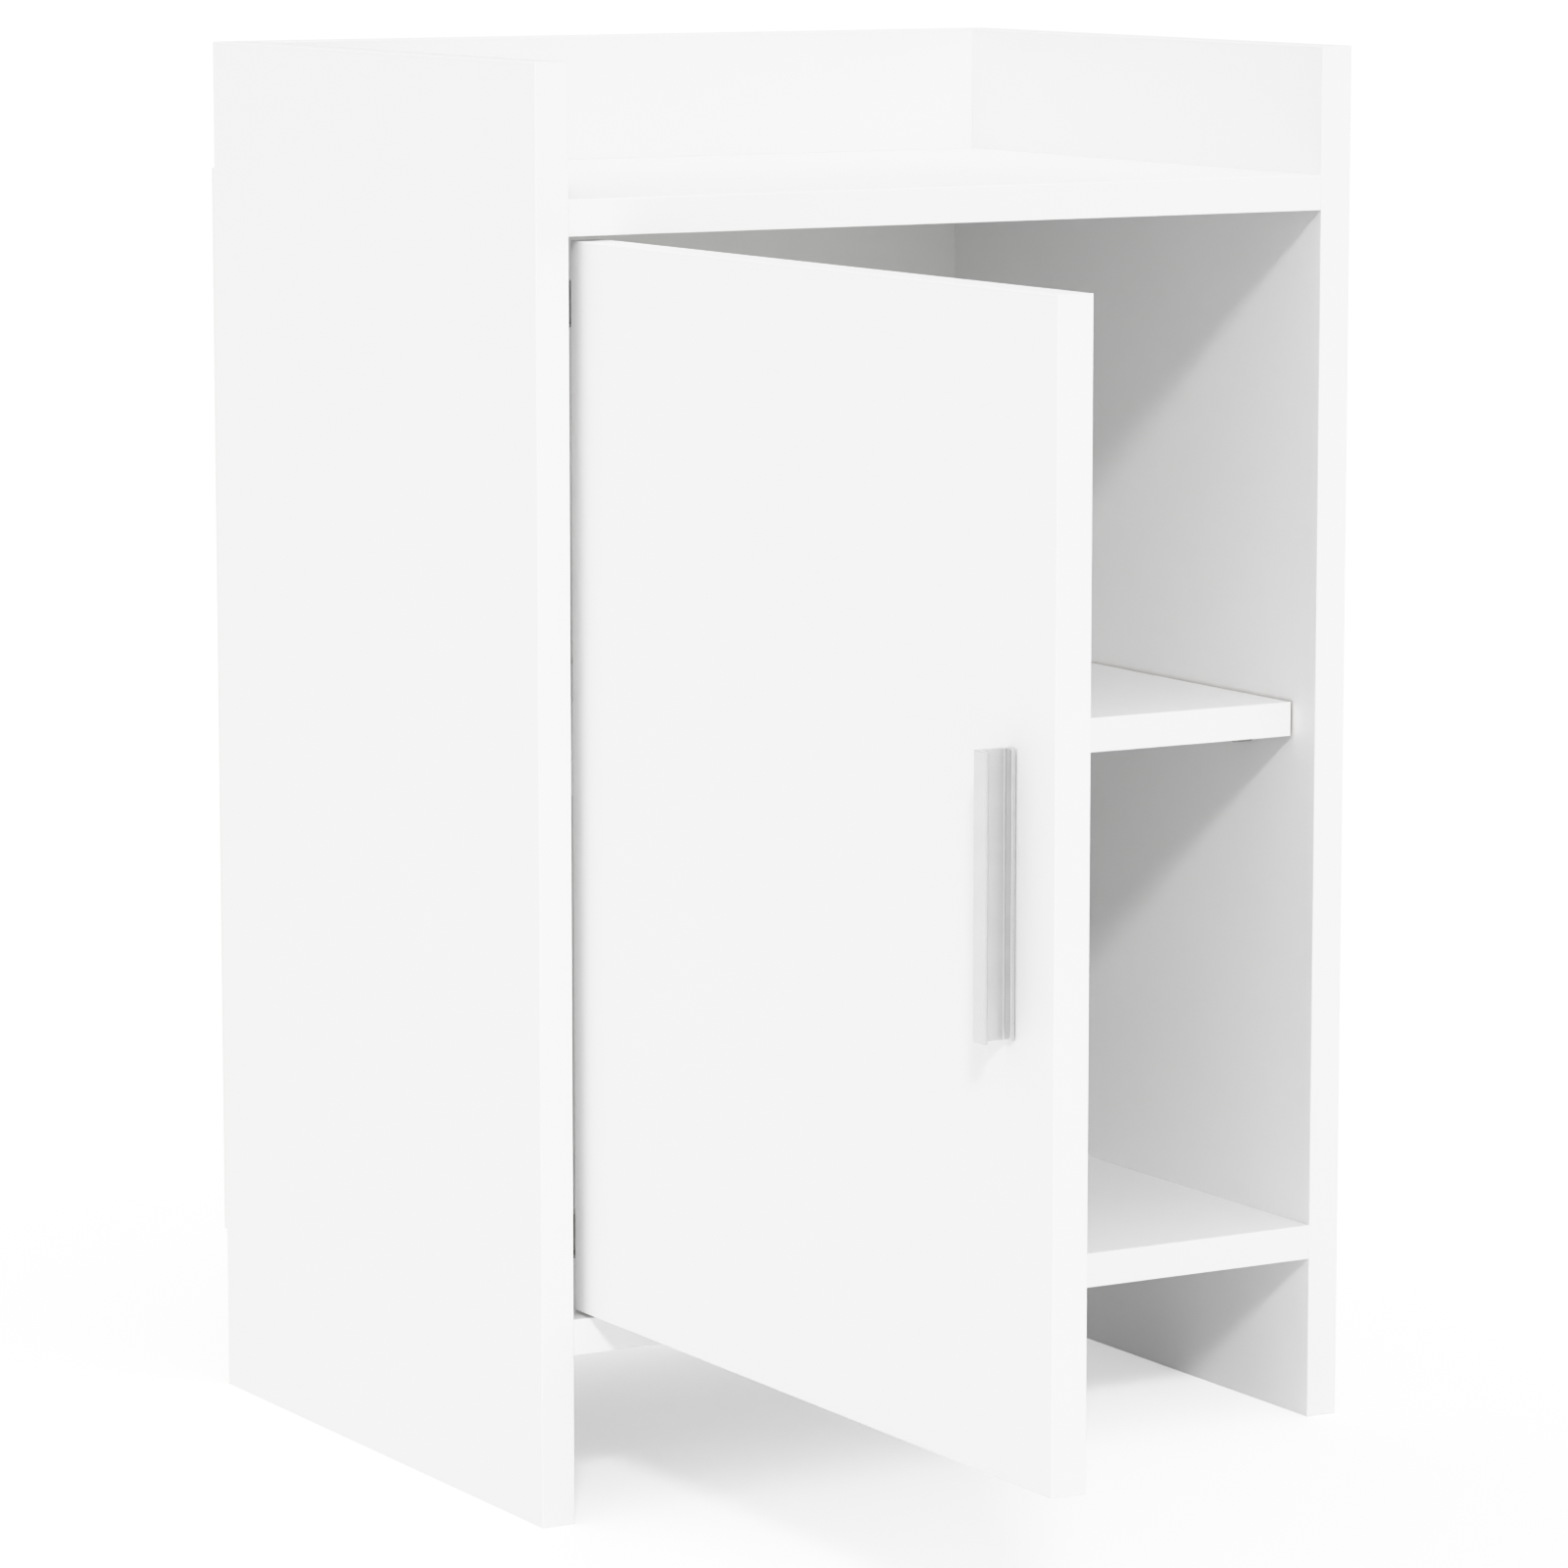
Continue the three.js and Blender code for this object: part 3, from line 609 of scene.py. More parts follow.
def nickel_steel():
    """Nickel-plated pressed steel: bright, with rolling marks and faint handling smudges."""
    material, tree, place = new_material("steel_nickel_plated")
    _, smudge = grain(tree, place, 6, 4.0, 0.6, gloss=(0.16, 0.34))
    _, marks = grain(tree, place, 0.45, 2.0, relief=(0.10, 0.02))
    shader(tree, Base_Color=mottle(tree, place, 8, "B9B9B6", "CBCBC8"), Metallic=1.0,
           **smudge, **marks)
    return material


def zinc_plated():
    """Zinc on steel and die-cast zinc: grey, half matt, lightly pitted."""
    material, tree, place = new_material("zinc_plated_grey")
    _, pits = grain(tree, place, 0.7, 4.0, 0.7, relief=(0.25, 0.03), gloss=(0.32, 0.50))
    shader(tree, Base_Color=mottle(tree, place, 5, "A9ADB0", "BEC1C3"), Metallic=1.0, **pits)
    return material


def beech():
    """Beech dowel: pale pink-brown, with short dark flecks along the grain."""
    material, tree, place = new_material("beech_bare")
    stretch = add_node(tree, "ShaderNodeMapping", inputs={"Vector": place, "Scale": (0.1, 1, 1)})
    value, _ = grain(tree, stretch.outputs[0], 0.6, 4.0)
    colour = add_node(tree, "ShaderNodeMix", {"data_type": "RGBA"}, {
        "Factor": value, 6: linear("B98D5E"), 7: linear("DDB98A")})
    shader(tree, Base_Color=colour.outputs[2], Roughness=0.65, IOR=1.45)
    return material


def finish(name, make, *codes):
    """The named material, made once."""
    return bpy.data.materials.get(name) or make(*codes)


def board_finishes():
    look = bpy.context.scene.cabinet_boards
    return (finish("melamine_pearl_white", white_melamine, look.face_colour),
            finish("particle_board_raw", particle_board, look.raw_dark, look.raw_light),
            finish("abs_edge_banding_white", edge_band, look.band_colour))


NICKEL, ZINC = "nickel_hinge", "zinc_fastener"


def metal(slot):
    """The finish of the metal pieces that share a slot."""
    if slot == NICKEL:
        return finish("steel_nickel_plated", nickel_steel)
    return finish("zinc_plated_grey", zinc_plated)


# ---------------------------------------------------------------- boards

X, Y, Z = 0, 1, 2
RAW = 1  # the material slot of a board's raw faces
PIN_BORE, PIN_BORE_DEPTH = 2.7, 8.5
CAM_BORE, CAM_BORE_DEPTH = 7.7, 12.6


def banded(low, high, sides, thickness):
    """Takes a strip off a box for each banded side, an (axis, direction) pair. Gives the core's
    two corners and the strips; a later strip stops at the earlier ones."""
    strips = []
    for axis, direction in sides:
        strip_low, strip_high = low.copy(), high.copy()
        if direction < 0:
            strip_high[axis] = low[axis] + thickness
            low = low.copy()
            low[axis] = strip_high[axis]
        else:
            strip_low[axis] = high[axis] - thickness
            high = high.copy()
            high[axis] = strip_low[axis]
        strips.append((strip_low, strip_high, axis, direction))
    return low, high, strips


def strip_shape(low, high, axis, direction, radius):
    """A banding strip whose outward face has trimmed, rounded edges."""
    shape = block(low, high)
    outside = high[axis] if direction > 0 else low[axis]
    rim = [e for e in shape.edges if all(abs(v.co[axis] - outside) < 1e-4 for v in e.verts)]
    bmesh.ops.bevel(shape, geom=rim, offset=radius, segments=3, profile=0.5, affect="EDGES")
    return shape


def raw_faces(shape, sides, low, high):
    """Gives the faces on the raw sides the raw material slot."""
    for face in shape.faces:
        middle = face.calc_center_median()
        for axis, direction in sides:
            edge = high[axis] if direction > 0 else low[axis]
            if abs(middle[axis] - edge) < 1e-3:
                face.material_index = RAW


def make_board(node, body, bands, raw=(), bores=()):
    """Replaces a board's CAD node by its core, with bores, and its edge banding."""
    size = bpy.context.scene.cabinet_boards
    melamine, chips, band = board_finishes()
    low, high = box_mm(node)
    low, high, strips = banded(low, high, bands, size.band)
    core = soft_block(low, high, size.core_round)
    raw_faces(core, raw, low, high)
    piece = carved(f"{node}_core", core, cuts=bores, raw=RAW)
    finished(piece, body, [melamine, chips], [node])
    made = [as_object("strip", strip_shape(*s, size.edge_round)) for s in strips]
    finished(joined_object(f"{node}_edging", made), body, [band])


def rod_at(axis, radius, place, start, end, sides=32):
    """A rod or a round cutter along an axis, from start to end past the place."""
    return moved(placed(rod(radius, start, end, sides), along(axis)), *place)


def named(start):
    return [name for name in frame["nodes"] if name.startswith(start)]


def in_plane(x, nodes):
    """The nodes' middles in Y and Z, at one place in X."""
    return [(x, middle_mm(node).y, middle_mm(node).z) for node in nodes]


class CABINET_OT_boards(bpy.types.Operator):
    """Build the side panels, top, bottom, shelf and upstand with banded edges and bores"""

    bl_idname = "cabinet.boards"
    bl_label = "Boards"

    def execute(self, context):
        for side, axis, inside in (("left", "-X", PANEL_INSIDE), ("right", "X", -PANEL_INSIDE)):
            bores = [rod_at(axis, PIN_BORE, place, -1, PIN_BORE_DEPTH)
                     for place in in_plane(inside, named(f"shelf_pin_{side}"))]
            make_board(f"side_panel_{side}", CARCASS, [(Y, -1), (Z, 1)], [(Y, 1), (Z, -1)], bores)
        for board in ("top", "bottom"):
            low = box_mm(f"{board}_board")[0].z
            bores = [rod_at("Z", CAM_BORE, (*middle_mm(cam).xy, low), -1, CAM_BORE_DEPTH, 48)
                     for cam in named(f"cam_{board}_")]
            make_board(f"{board}_board", CARCASS, [(Y, -1)], [(Y, 1), (X, -1), (X, 1)], bores)
        make_board("shelf", CARCASS, [(Y, -1)], [(X, -1), (X, 1), (Y, 1)])
        make_board("upstand", CARCASS, [(Z, 1)], [(X, -1), (X, 1), (Z, -1)])
        return {"FINISHED"}


class CABINET_OT_back_panel(bpy.types.Operator):
    """Build the hardboard back with its nails"""

    bl_idname = "cabinet.back_panel"
    bl_label = "Back Panel"

    def execute(self, context):
        fitting = context.scene.cabinet_fittings
        low, high = box_mm("back_panel")
        head_height, nail_inset, nail_length = 0.3, 7.5, 6
        rear = high.y - head_height
        corner = Vector((high.x, rear, high.z))
        shape = soft_block(low, corner, 0.25, 3)
        raw_faces(shape, [(Y, 1)], low, corner)
        sheet = as_object("back_panel_sheet", shape)
        raw = finish("hardboard_raw_brown", hardboard_raw, context.scene.cabinet_boards.back_raw)
        finished(sheet, CARCASS,
                 [finish("hardboard_white_foil", hardboard_foil), raw], ["back_panel"])
        x0, x1, z0, z1 = (low.x + nail_inset, high.x - nail_inset,
                          low.z + nail_inset, high.z - nail_inset)
        outline = bpy.data.meshes.new("nails")
        outline.from_pydata([(x0, rear, z0), (x1, rear, z0), (x1, rear, z1), (x0, rear, z1)],
                            [(0, 1), (1, 2), (2, 3), (3, 0)], [])
        crown = head_height * 0.8
        nail = [(0, -nail_length), (0.7, -nail_length), (0.7, -0.1), (1.7, -0.05), (1.75, 0.1),
                *arc((1.45, 0.02), 0.26, 0, 90, 3), (0.5, crown), (0, crown)]
        unit = as_object("unit", turned(nail, 20))
        nails = run_tree(link_object("back_panel_nails", outline), nail_tree(), {
            "Unit": unit, "Spacing": fitting.nail_spacing, "Scatter": fitting.nail_scatter,
            "Seed": fitting.seed, "Finish": metal(ZINC)})
        discard(unit)
        finished(nails, CARCASS, [metal(ZINC)])
        return {"FINISHED"}


class CABINET_OT_door(bpy.types.Operator):
    """Build the door with banding on all four edges and the hinges' and handle's bores"""

    bl_idname = "cabinet.door"
    bl_label = "Door"

    def execute(self, context):
        hinge = context.scene.cabinet_hinges
        cup_hole, screw_hole = hinge.cup_radius + 0.3, 2.3
        bores = [rod_at("-X", cup_hole, cup_middle(level), -1, hinge.cup_bore, 64)
                 for level in LEVELS]
        bores += [rod_at("X", screw_hole, place, -1, DOOR_THICK + 1, 24)
                  for place in in_plane(DOOR_LOW.x, HANDLE_SCREWS)]
        make_board("door", DOOR, [(Y, -1), (Y, 1), (Z, 1), (Z, -1)], bores=bores)
        return {"FINISHED"}


# ---------------------------------------------------------------- handle

def cross_recess(reach, depth):
    """Two crossed slots of a screw's recess, cut down from z = 0."""
    arm = 0.42
    slots = []
    for turn in (0, math.pi / 2):
        slot = prism(rectangle(-reach, -arm, reach, arm, 0.3), -depth, 1)
        slots.append(placed(slot, Matrix.Rotation(turn, 4, "Z")))
    return slots


def pan_screw(head_radius, head_height, shank_radius, length):
    """A pan-head screw standing on Z, its head's underside at z = 0."""
    dome = [(head_radius, 0.25), (head_radius, head_height * 0.45),
            *arc((head_radius - head_height * 0.5, head_height * 0.5), head_height * 0.5, 10, 90, 5)]
    profile = [(0, -length), (shank_radius * 0.7, -length), (shank_radius, 0.5 - length)]
    profile += [(shank_radius, 0), (head_radius - 0.25, 0), *dome, (0, head_height)]
    cuts = [moved(slot, 0, 0, head_height) for slot in cross_recess(head_radius * 0.58, 1.1)]
    return soften(carved("unit", turned(profile, 40), cuts=cuts), 0.08, 1)


class CABINET_OT_handle(bpy.types.Operator):
    """Build the extruded handle and its two screws"""

    bl_idname = "cabinet.handle"
    bl_label = "Handle"

    def execute(self, context):
        size = context.scene.cabinet_handle
        low, high = box_mm("handle")
        wall, corner, screw_hole = size.wall, size.corner, 1.9
        outline = rounded([
            (high.x, high.y), (low.x, high.y), (low.x, low.y), (low.x + wall, low.y),
            (low.x + wall, high.y - wall), (high.x - wall, high.y - wall),
            (high.x - wall, high.y - size.foot), (high.x, high.y - size.foot),
        ], [corner, corner, 0.8, 0.8, 0.6, 0.6, 0.5, 0.3], 5)
        foot_y = high.y - size.foot / 2
        bores = [rod_at("X", screw_hole, (high.x, foot_y, middle_mm(screw).z), -1.6, 1, 20)
                 for screw in HANDLE_SCREWS]
        bar = soften(carved("handle_profile", prism(outline, low.z, high.z), cuts=bores), 0.28, 3, 60)
        aluminium = finish("anodised_aluminium_satin", satin_aluminium)
        finished(bar, DOOR, [aluminium], ["handle"])
        unit = pan_screw(3.8, 2.2, 1.75, DOOR_THICK)
        fasteners("handle_screws", unit, in_plane(DOOR_HIGH.x + UNDER_HEAD, HANDLE_SCREWS),
                  (1, 0, 0), DOOR, ZINC, HANDLE_SCREWS, 1.2)
        return {"FINISHED"}


# ---------------------------------------------------------------- hinges

def cup_middle(level):
    """The cup's middle on the door's inner face."""
    hinge = bpy.context.scene.cabinet_hinges
    low, high = box_mm(f"hinge_cup_{level}")
    return Vector((DOOR_HIGH.x, low.y + hinge.cup_radius + hinge.flange_rim, (low.z + high.z) / 2))


def level_nodes(*names):
    return [f"{name}_{level}" for name in names for level in LEVELS]


def both_levels(name, unit, body, part):
    """The unit, drawn at z = 0 in its place in plan, at both hinge heights."""
    fasteners(name, unit, [(0, 0, z) for z in HINGE_LEVELS], (0, 0, 1), body, NICKEL,
              level_nodes(part))


def hinge_screws(name, unit, points, body, nodes=()):
    """Hinge screws whose heads face along X, each with its own turn."""
    fasteners(name, unit, points, (1, 0, 0), body, NICKEL, nodes, 1.5)


def flat_bar(start, end, half, low, high):
    """A flat bar in plan between two points."""
    run = Vector(end) - Vector(start)
    shape = block((0, -half, low), (run.length, half, high))
    placed(shape, Matrix.Rotation(math.atan2(run.y, run.x), 4, "Z"))
    return moved(shape, *start, 0)


class CABINET_OT_hinge_cups(bpy.types.Operator):
    """Build the pressed cups, their pins and their screws, on the door"""

    bl_idname = "cabinet.hinge_cups"
    bl_label = "Hinge Cups"

    def execute(self, context):
        hinge = context.scene.cabinet_hinges
        at = cup_middle("lower")
        # The cup is drawn standing on Z, with its flange's ears on +X, and then laid on the door.
        place = Matrix.Translation((at.x, at.y, 0)) @ Matrix(
            ((0, 0, 1, 0), (-1, 0, 0, 0), (0, -1, 0, 0), (0, 0, 0, 1)))
        pin = middle_mm("hinge_cup_pin_lower")
        pin_x, pin_z = at.y - pin.y, pin.x - at.x
        radius, inside = hinge.cup_radius, hinge.cup_radius - hinge.cup_wall
        top, seat, low = 1.3, 0.3, -11.7
        floor, rim, ear = low + 0.8, radius + hinge.flange_rim, 3.7
        profile = [
            (0, low), *arc((radius - 1.6, low + 1.6), 1.6, -90, 0, 5), (radius, seat), (rim, seat),
            *arc((rim - 0.4, top - 0.4), 0.4, 0, 90, 3),
            *arc((inside + 0.6, top - 0.6), 0.6, 90, 180, 4),
            *arc((inside - 1.2, floor + 1.2), 1.2, 0, -90, 5), (0, floor)]
        ear_x = hinge.screw_offset + ear
        spread = hinge.screw_spacing / 2
        half = spread + ear
        joined = [prism(rectangle(0, -half, ear_x, half, 3.4, 6), seat, top)]
        cuts = [
            rod(inside - 0.04, 0.1, 3, 64),
            block((-rim - 1, -7.2, pin_z + 3.6), (3 - inside, 7.2, 3)),
            rod_at("Y", 1.3, (pin_x, 0, pin_z), -9, 9, 20)]
        for side in (-1, 1):
            # A tab with a round top holds the pin on either side of the links.
            start, end = sorted((side * 7.0, side * 8.2))
            joined.append(block((pin_x - 2, start, floor - 0.4), (pin_x + 2, end, pin_z)))
            joined.append(rod_at("Y", 2, (pin_x, 0, pin_z), start, end, 24))
            cuts.append(moved(rod(2.2, 0, 2, 24), hinge.screw_offset, side * spread, 0))
            cuts.append(moved(rod(1.0, 0, 2, 20), 7.5, side * (spread - 4.5), 0))
        cup = soften(carved("unit", turned(profile, 64), joined, cuts), 0.12, 2)
        cup.data.transform(place)
        both_levels("hinge_cups", cup, DOOR, "hinge_cup")
        rivet = as_object("unit", moved(rod(1.0, -8.1, 8.1, 24), pin.x, pin.y, 0))
        both_levels("hinge_cup_pins", soften(rivet, 0.15), DOOR, "hinge_cup_pin")
        nodes = level_nodes("cup_screw_low", "cup_screw_high")
        hinge_screws("cup_screws", pan_screw(3.6, 1.7, 1.8, 11),
                     in_plane(DOOR_HIGH.x + top + UNDER_HEAD, nodes), DOOR, nodes)
        return {"FINISHED"}


class CABINET_OT_hinge_links(bpy.types.Operator):
    """Build the bent links that join the arms to the cups"""

    bl_idname = "cabinet.hinge_links"
    bl_label = "Hinge Links"

    def execute(self, context):
        arm_pin = middle_mm("hinge_arm_pin_lower").xy
        cup_pin = middle_mm("hinge_cup_pin_lower").xy
        run = cup_pin - arm_pin
        slot_in = run.length + (cup_pin - PIVOT.xy).length - (arm_pin - PIVOT.xy).length
        end, start = run.length, run.length - slot_in
        bend = (end * 0.45, 1.3)
        half, eye, slot, hole = 1.6, 2.2, 1.5, 1.4
        near, far = 5, 6.5
        shapes, cuts = [], []
        for low, high in ((near, far), (-far, -near)):
            shapes += [
                flat_bar((0, 0), bend, half, low, high), flat_bar(bend, (start, 0), half, low, high),
                moved(rod(half, low, high, 24), *bend, 0), rod(eye, low, high, 32),
                block((start, -eye, low), (end, eye, high)),
                moved(rod(eye, low, high, 32), start, 0, 0)]
            low, high = low - 1, high + 1
            cuts += [
                rod(hole, low, high, 24), block((start, -slot, low), (end + 1, slot, high)),
                moved(rod(slot, low, high, 24), start, 0, 0)]
        shapes.append(block((eye + 1, half - 0.8, -far), (bend[0], half + 0.2, far)))
        link = soften(carved("unit", shapes[0], shapes[1:], cuts), 0.12, 2)
        turn = Matrix.Rotation(math.atan2(run.y, run.x), 4, "Z")
        link.data.transform(Matrix.Translation((*arm_pin, 0)) @ turn)
        both_levels("hinge_link_pair", link, LINKS, "hinge_link")
        return {"FINISHED"}


class CABINET_OT_hinge_arms(bpy.types.Operator):
    """Build the pressed arms with their pins and adjusting screws, and the mounting plates"""

    bl_idname = "cabinet.hinge_arms"
    bl_label = "Hinge Arms"

    def execute(self, context):
        self.arms(context.scene.cabinet_hinges)
        self.plates(context.scene.cabinet_hinges)
        return {"FINISHED"}

    def arms(self, hinge):
        inner, back = PANEL_INSIDE, box_mm("hinge_arm_lower")[1].y
        pin = middle_mm("hinge_arm_pin_lower")
        sheet, crown, bend = hinge.sheet, inner + hinge.arm_height, FRONT + 40
        web = [(crown, back), (crown, bend), ((crown + pin.x) / 2, bend - 10),
               (pin.x + 0.7, bend - 20)]
        cheek = web + [
            (pin.x + 2.2, pin.y + 2.2), (pin.x + 1.2, pin.y - 1.9), (pin.x - 1.2, pin.y - 1.9),
            (pin.x - 2.2, pin.y), (pin.x - 4, pin.y + 5), (pin.x - 12, pin.y + 12.5),
            (crown - 3, pin.y + 23), (inner + 2, bend - 3), (inner + 2, back)]
        radii = [0.8, 6, 2, 2, 1.5, 1, 1, 1, 2, 3, 3, 2, 1.5]
        under = [(x - sheet, y - sheet * 0.7) for x, y in reversed(web)]
        under[-1] = (crown - sheet, back)
        outer, inside = 9.4, 9.4 - sheet
        shapes = [prism(rounded(web + under, [0.5, 6, 2, 0, 0, 2, 6, 0]), -outer, outer)]
        shapes += [prism(rounded(cheek, radii), low, high)
                   for low, high in ((inside, outer), (-outer, -inside))]
        screw_y, side_y = FRONT + hinge.fixing_screw, FRONT + hinge.side_screw
        slot = prism(rectangle(-2.8, -6, 2.8, 6, 2.7, 6), -4, 2)
        slot = moved(placed(slot, along("X")), crown, screw_y, 0)
        cuts = [
            moved(rod(1.4, -11, 11, 24), pin.x, pin.y, 0), slot,
            rod_at("X", 2.5, (crown, side_y, 0), -4, 2, 24)]
        arm = soften(carved("unit", shapes[0], shapes[1:], cuts), 0.25, 2)
        both_levels("hinge_arms", arm, CARCASS, "hinge_arm")
        rivet = as_object("unit", moved(rod(1.2, -9.7, 9.7, 24), pin.x, pin.y, 0))
        both_levels("hinge_arm_pins", soften(rivet, 0.2), CARCASS, "hinge_arm_pin")
        points = [(crown + 0.3, screw_y, z) for z in HINGE_LEVELS]
        hinge_screws("hinge_arm_screws", pan_screw(4, 2.1, 2.4, 6), points, CARCASS,
                     level_nodes("hinge_arm_screw"))
        unit = soften(carved("unit", rod(2.3, -4.5, 0.4, 32), cuts=[
            moved(slot, 0, 0, 0.4) for slot in cross_recess(1.5, 1.2)]), 0.1, 1)
        points = [(crown - 0.2, side_y, z) for z in HINGE_LEVELS]
        hinge_screws("hinge_side_screws", unit, points, CARCASS)

    def plates(self, hinge):
        inner, screw_y, side_y = PANEL_INSIDE, FRONT + hinge.fixing_screw, FRONT + hinge.side_screw
        low, high = box_mm("hinge_plate_lower")
        half = (high.z - low.z) / 2
        start, width, thick, lift = low.y, 18, 1.6, 0.02
        wing = rectangle(start, -half, start + width, half, 6, 6)
        # The outline is drawn in Y and Z and pulled out along X.
        stand = Matrix(((0, 0, 1, inner), (1, 0, 0, 0), (0, 1, 0, 0), (0, 0, 0, 1)))
        base = placed(prism(wing, lift, thick), stand)
        body = block((inner + lift, start, -7.6), (inner + 8.6, high.y, 7.6))
        cuts = [rod_at("X", 2.3, (inner, start + width / 2, side * hinge.plate_screws / 2), -1, 3, 24)
                for side in (-1, 1)]
        cuts.append(rod_at("X", 2.7, (inner, screw_y, 0), 4, 12, 24))
        cuts.append(rod_at("X", 3.4, (inner, side_y, 0), 7.4, 12, 32))
        cuts.append(block((inner + 6.2, side_y + 8, -4.6), (inner + 9, side_y + 10.5, 4.6)))
        plate = soften(carved("unit", base, [body], cuts), 0.3, 2)
        both_levels("hinge_plates", plate, CARCASS, "hinge_plate")
        nodes = level_nodes("plate_screw_low", "plate_screw_high")
        hinge_screws("plate_screws", pan_screw(3.6, 1.6, 1.8, 11),
                     in_plane(inner + thick + UNDER_HEAD, nodes), CARCASS, nodes)


# ---------------------------------------------------------------- fittings in the boards

class CABINET_OT_fittings(bpy.types.Operator):
    """Build the cams and shelf pins, and finish the hidden bolts and dowels"""

    bl_idname = "cabinet.fittings"
    bl_label = "Board Fittings"

    def execute(self, context):
        self.cams()
        for side, facing in (("left", 1), ("right", -1)):
            self.shelf_pins(side, facing)
        hidden = {"cam_bolt": metal(ZINC), "upstand_dowel": finish("beech_bare", beech)}
        for start, material in hidden.items():
            for name in named(start):
                look = frame["nodes"][name].data.materials
                look.clear()
                look.append(material)
        return {"FINISHED"}

    def cams(self):
        nodes = sorted(n for n in named("cam_") if "bolt" not in n)
        rim, depth, sunk = 7.4, 12, 0.35
        profile = [(0, -depth), (rim - 0.4, -depth), (rim, 0.4 - depth), (rim, -0.5), (rim - 0.4, 0),
                   (6.2, 0), (5.9, -sunk), (0, -sunk)]
        gate = block((-9, -3.6, -11.2), (9, 3.6, -3.2))
        arrow = prism([(3.4, -0.9), (5.2, 0), (3.4, 0.9)], -0.8, 1)
        cuts = [gate, arrow, *[moved(slot, 0, 0, -sunk) for slot in cross_recess(3.3, 2.2)]]
        unit = soften(carved("unit", turned(profile, 48), cuts=cuts), 0.1, 1)
        points = [(*middle_mm(node).xy, box_mm(node)[0].z) for node in nodes]
        fasteners("cam_nuts", unit, points, (0, 0, -1), CARCASS, ZINC, nodes)

    def shelf_pins(self, side, facing):
        nodes = sorted(named(f"shelf_pin_{side}"))
        profile = [(0, -8), (2.1, -8), (2.4, -7.6), (2.4, 0.1), (3.0, 0.1), (3.0, 1.2), (2.7, 1.5),
                   (2.7, 2.0), (3.0, 2.3), *arc((2.4, 8.4), 0.6, 0, 90, 4), (0, 9)]
        fasteners(f"shelf_pins_{side}", as_object("unit", turned(profile, 32)),
                  in_plane(PANEL_INSIDE * facing, nodes), (facing, 0, 0), CARCASS, NICKEL, nodes)


# ---------------------------------------------------------------- stage

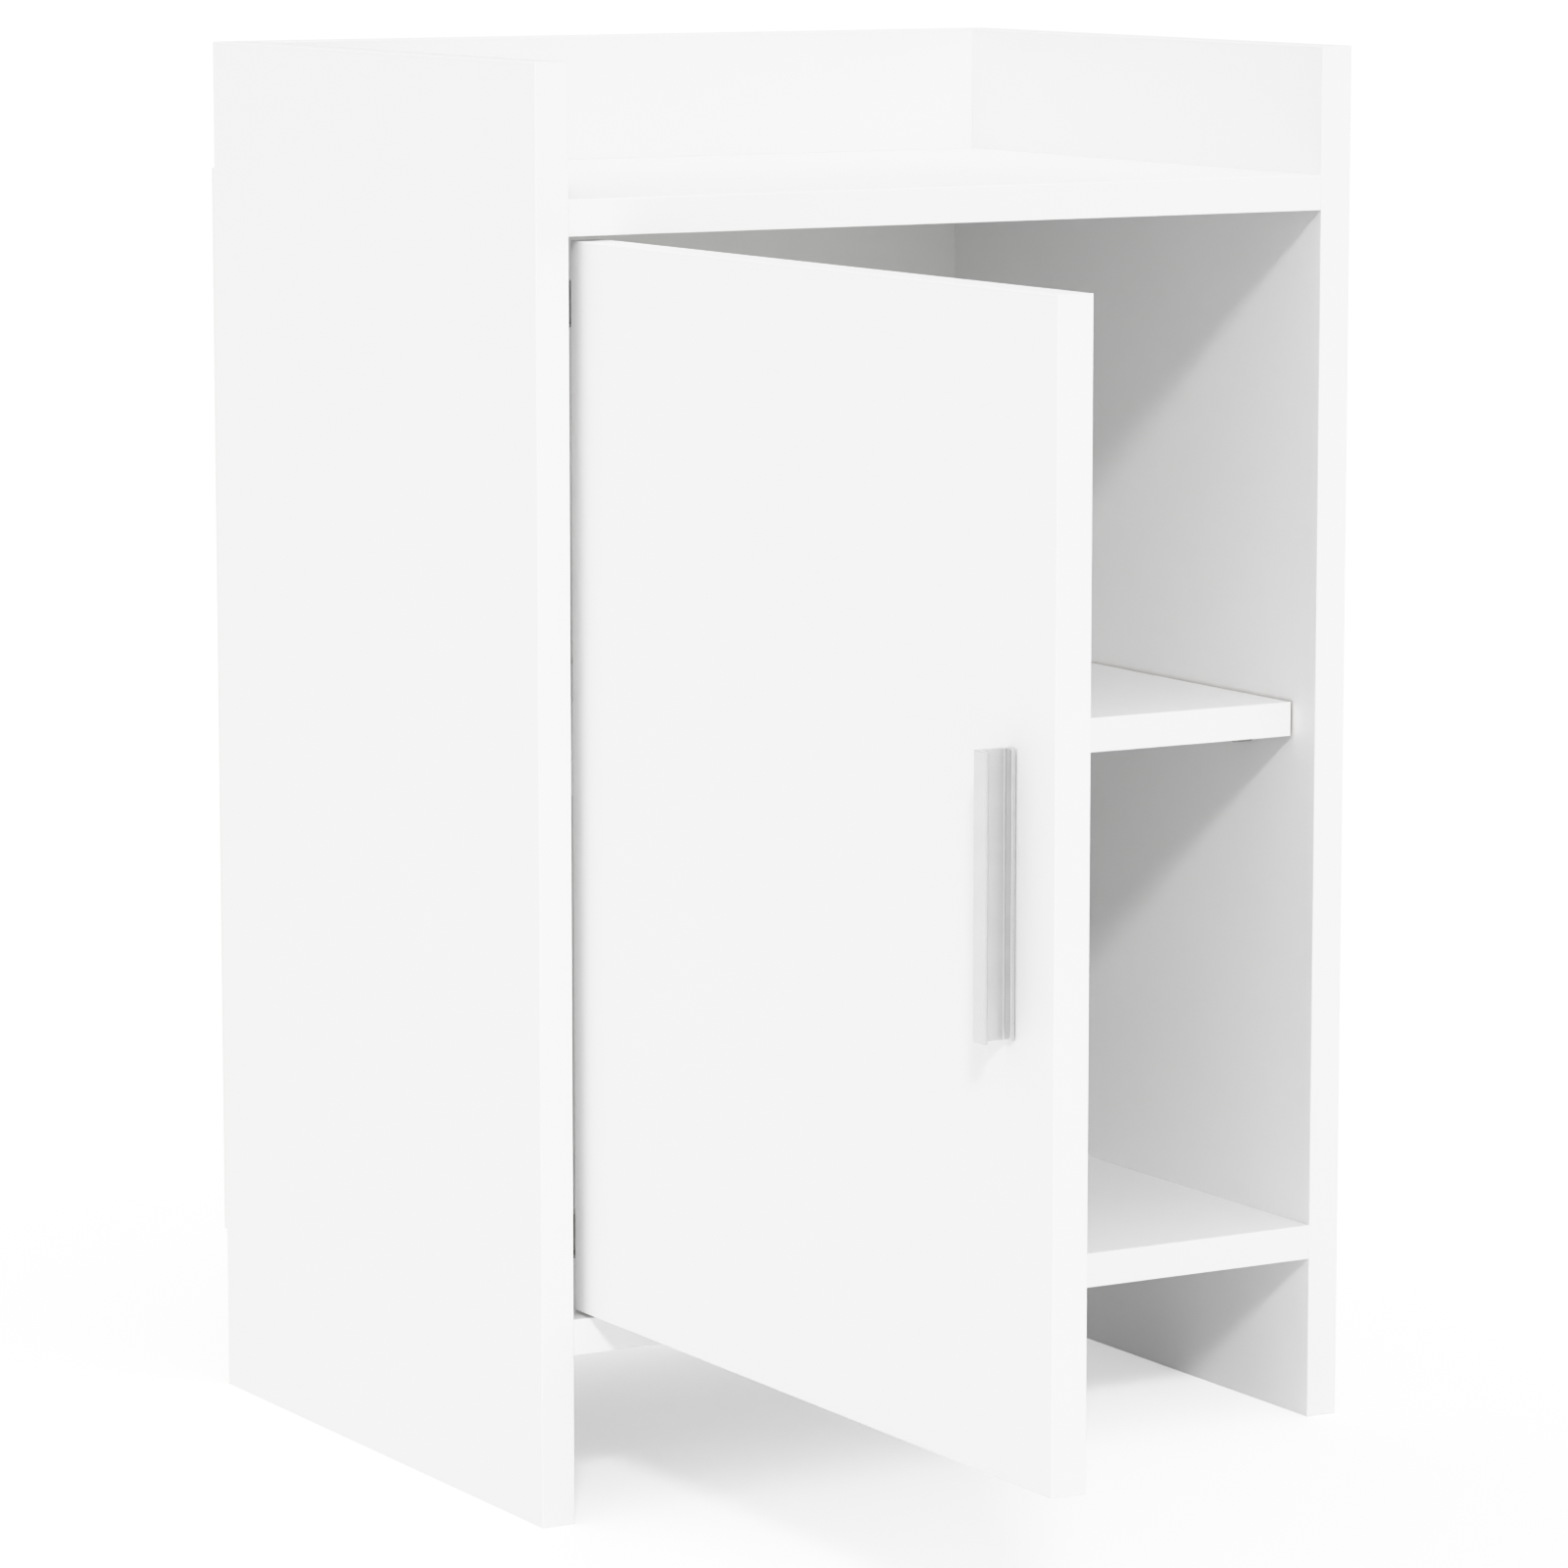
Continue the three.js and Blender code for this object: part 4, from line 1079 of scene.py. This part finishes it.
class CABINET_OT_stage(bpy.types.Operator):
    """Set the pale floor, the lights and the camera"""

    bl_idname = "cabinet.stage"
    bl_label = "Stage"

    def execute(self, context):
        stage = context.scene.cabinet_stage
        self.floor(stage)
        self.lights(context.scene, stage)
        self.camera(context.scene, stage)
        return {"FINISHED"}

    def floor(self, stage):
        """A wide pale studio floor. Its glow is only seen, and puts no light on the object."""
        reach = 80 / MM
        floor = as_object("floor", block((-reach, -reach, -30), (reach, reach, 0)))
        floor.data.transform(Matrix.Scale(MM, 4))
        material, tree, place = new_material("studio_floor_white")
        _, matt = grain(tree, place, 25, 2.0, gloss=(0.85, 0.95))
        seen = add_node(tree, "ShaderNodeLightPath").outputs["Is Camera Ray"]
        glow = add_node(tree, "ShaderNodeMath", {"operation": "MULTIPLY"}, {
            0: seen, 1: stage.floor_glow})
        shader(tree, Base_Color=linear("F4F4F4"), Emission_Color=linear("FFFFFF"),
               Emission_Strength=glow.outputs[0], Specular_IOR_Level=0.0, **matt)
        floor.data.materials.clear()
        floor.data.materials.append(material)

    def lights(self, scene, stage):
        world = bpy.data.worlds.new("Studio")
        world.use_nodes = True
        world.node_tree.nodes.clear()
        tree = world.node_tree
        direction = add_node(tree, "ShaderNodeSeparateXYZ", inputs={
            0: add_node(tree, "ShaderNodeTexCoord").outputs["Generated"]})
        left = add_node(tree, "ShaderNodeMapRange", inputs={
            "Value": direction.outputs["X"], "From Min": 0.0, "From Max": -1.0,
            "To Min": stage.world_strength, "To Max": stage.world_strength + stage.left_strength})
        top = add_node(tree, "ShaderNodeMapRange", inputs={
            "Value": direction.outputs["Z"], "To Max": stage.top_strength})
        both = add_node(tree, "ShaderNodeMath", {"operation": "ADD"}, {
            0: left.outputs[0], 1: top.outputs[0]})
        white = linear("FFFFFF")
        room = add_node(tree, "ShaderNodeBackground", inputs={
            "Color": white, "Strength": both.outputs[0]})
        backdrop = add_node(tree, "ShaderNodeBackground", inputs={
            "Color": white, "Strength": stage.backdrop_strength})
        seen = add_node(tree, "ShaderNodeLightPath").outputs["Is Camera Ray"]
        sky = add_node(tree, "ShaderNodeMixShader", inputs={
            0: seen, 1: room.outputs[0], 2: backdrop.outputs[0]})
        add_node(tree, "ShaderNodeOutputWorld", inputs={"Surface": sky.outputs[0]})
        scene.world = world
        key = bpy.data.lights.new("Key", "SUN")
        key.energy = stage.key_strength
        key.angle = stage.key_soft
        place = Vector((-math.tan(stage.key_side), -1, math.tan(stage.key_fall)))
        self.aim(link_object("Key", key), place, Vector((0, 0, 0)))

    def aim(self, lamp, place, target):
        lamp.location = place
        lamp.rotation_euler = (target - place).to_track_quat("-Z", "Y").to_euler()

    def camera(self, scene, stage):
        lens = bpy.data.cameras.new("Camera")
        lens.sensor_width = 36
        lens.lens = stage.focal
        lens.clip_end = 300
        camera = link_object("Camera", lens)
        camera.location = stage.eye
        flat = math.cos(stage.tilt)
        look = Vector((math.sin(stage.heading) * flat, math.cos(stage.heading) * flat,
                       -math.sin(stage.tilt)))
        camera.rotation_euler = look.to_track_quat("-Z", "Y").to_euler()
        scene.camera = camera
        self.shoulder(scene.view_settings)

    def shoulder(self, view):
        """Rolls the brightest values off softly, so that white boards keep their tone."""
        view.view_transform = "Standard"
        view.use_curve_mapping = True
        mapping = view.curve_mapping
        mapping.clip_max_x = mapping.clip_max_y = 2
        curve = mapping.curves[3]
        curve.points[1].location = (1.45, 1.0)
        for light, shown in ((0.55, 0.55), (0.75, 0.735), (0.9, 0.84), (1.05, 0.905), (1.2, 0.95)):
            curve.points.new(light, shown)
        mapping.update()


# ---------------------------------------------------------------- panel and registration

OPERATORS = (
    CABINET_OT_boards, CABINET_OT_back_panel, CABINET_OT_door, CABINET_OT_handle,
    CABINET_OT_hinge_cups, CABINET_OT_hinge_links, CABINET_OT_hinge_arms, CABINET_OT_fittings,
    CABINET_OT_stage,
)
SETTINGS = {
    "cabinet_boards": BoardSettings, "cabinet_hinges": HingeSettings,
    "cabinet_handle": HandleSettings, "cabinet_fittings": FittingSettings,
    "cabinet_stage": StageSettings,
}


class CABINET_PT_panel(bpy.types.Panel):
    """Sizes, colours and build steps of the cabinet"""

    bl_label = "Cabinet"
    bl_idname = "CABINET_PT_panel"
    bl_space_type = "VIEW_3D"
    bl_region_type = "UI"
    bl_category = "Cabinet"

    def draw(self, context):
        for name in SETTINGS:
            group = getattr(context.scene, name)
            box = self.layout.box()
            for prop in group.__annotations__:
                box.prop(group, prop)
        for operator in OPERATORS:
            self.layout.operator(operator.bl_idname)


CLASSES = (*SETTINGS.values(), *OPERATORS, CABINET_PT_panel)


def register():
    for item in CLASSES:
        bpy.utils.register_class(item)
    for name, group in SETTINGS.items():
        setattr(bpy.types.Scene, name, PointerProperty(type=group))


def unregister():
    for name in SETTINGS:
        delattr(bpy.types.Scene, name)
    for item in reversed(CLASSES):
        bpy.utils.unregister_class(item)


def main():
    register()
    for operator in OPERATORS:
        group, name = operator.bl_idname.split(".")
        getattr(getattr(bpy.ops, group), name)()


if __name__ == "__main__":
    main()
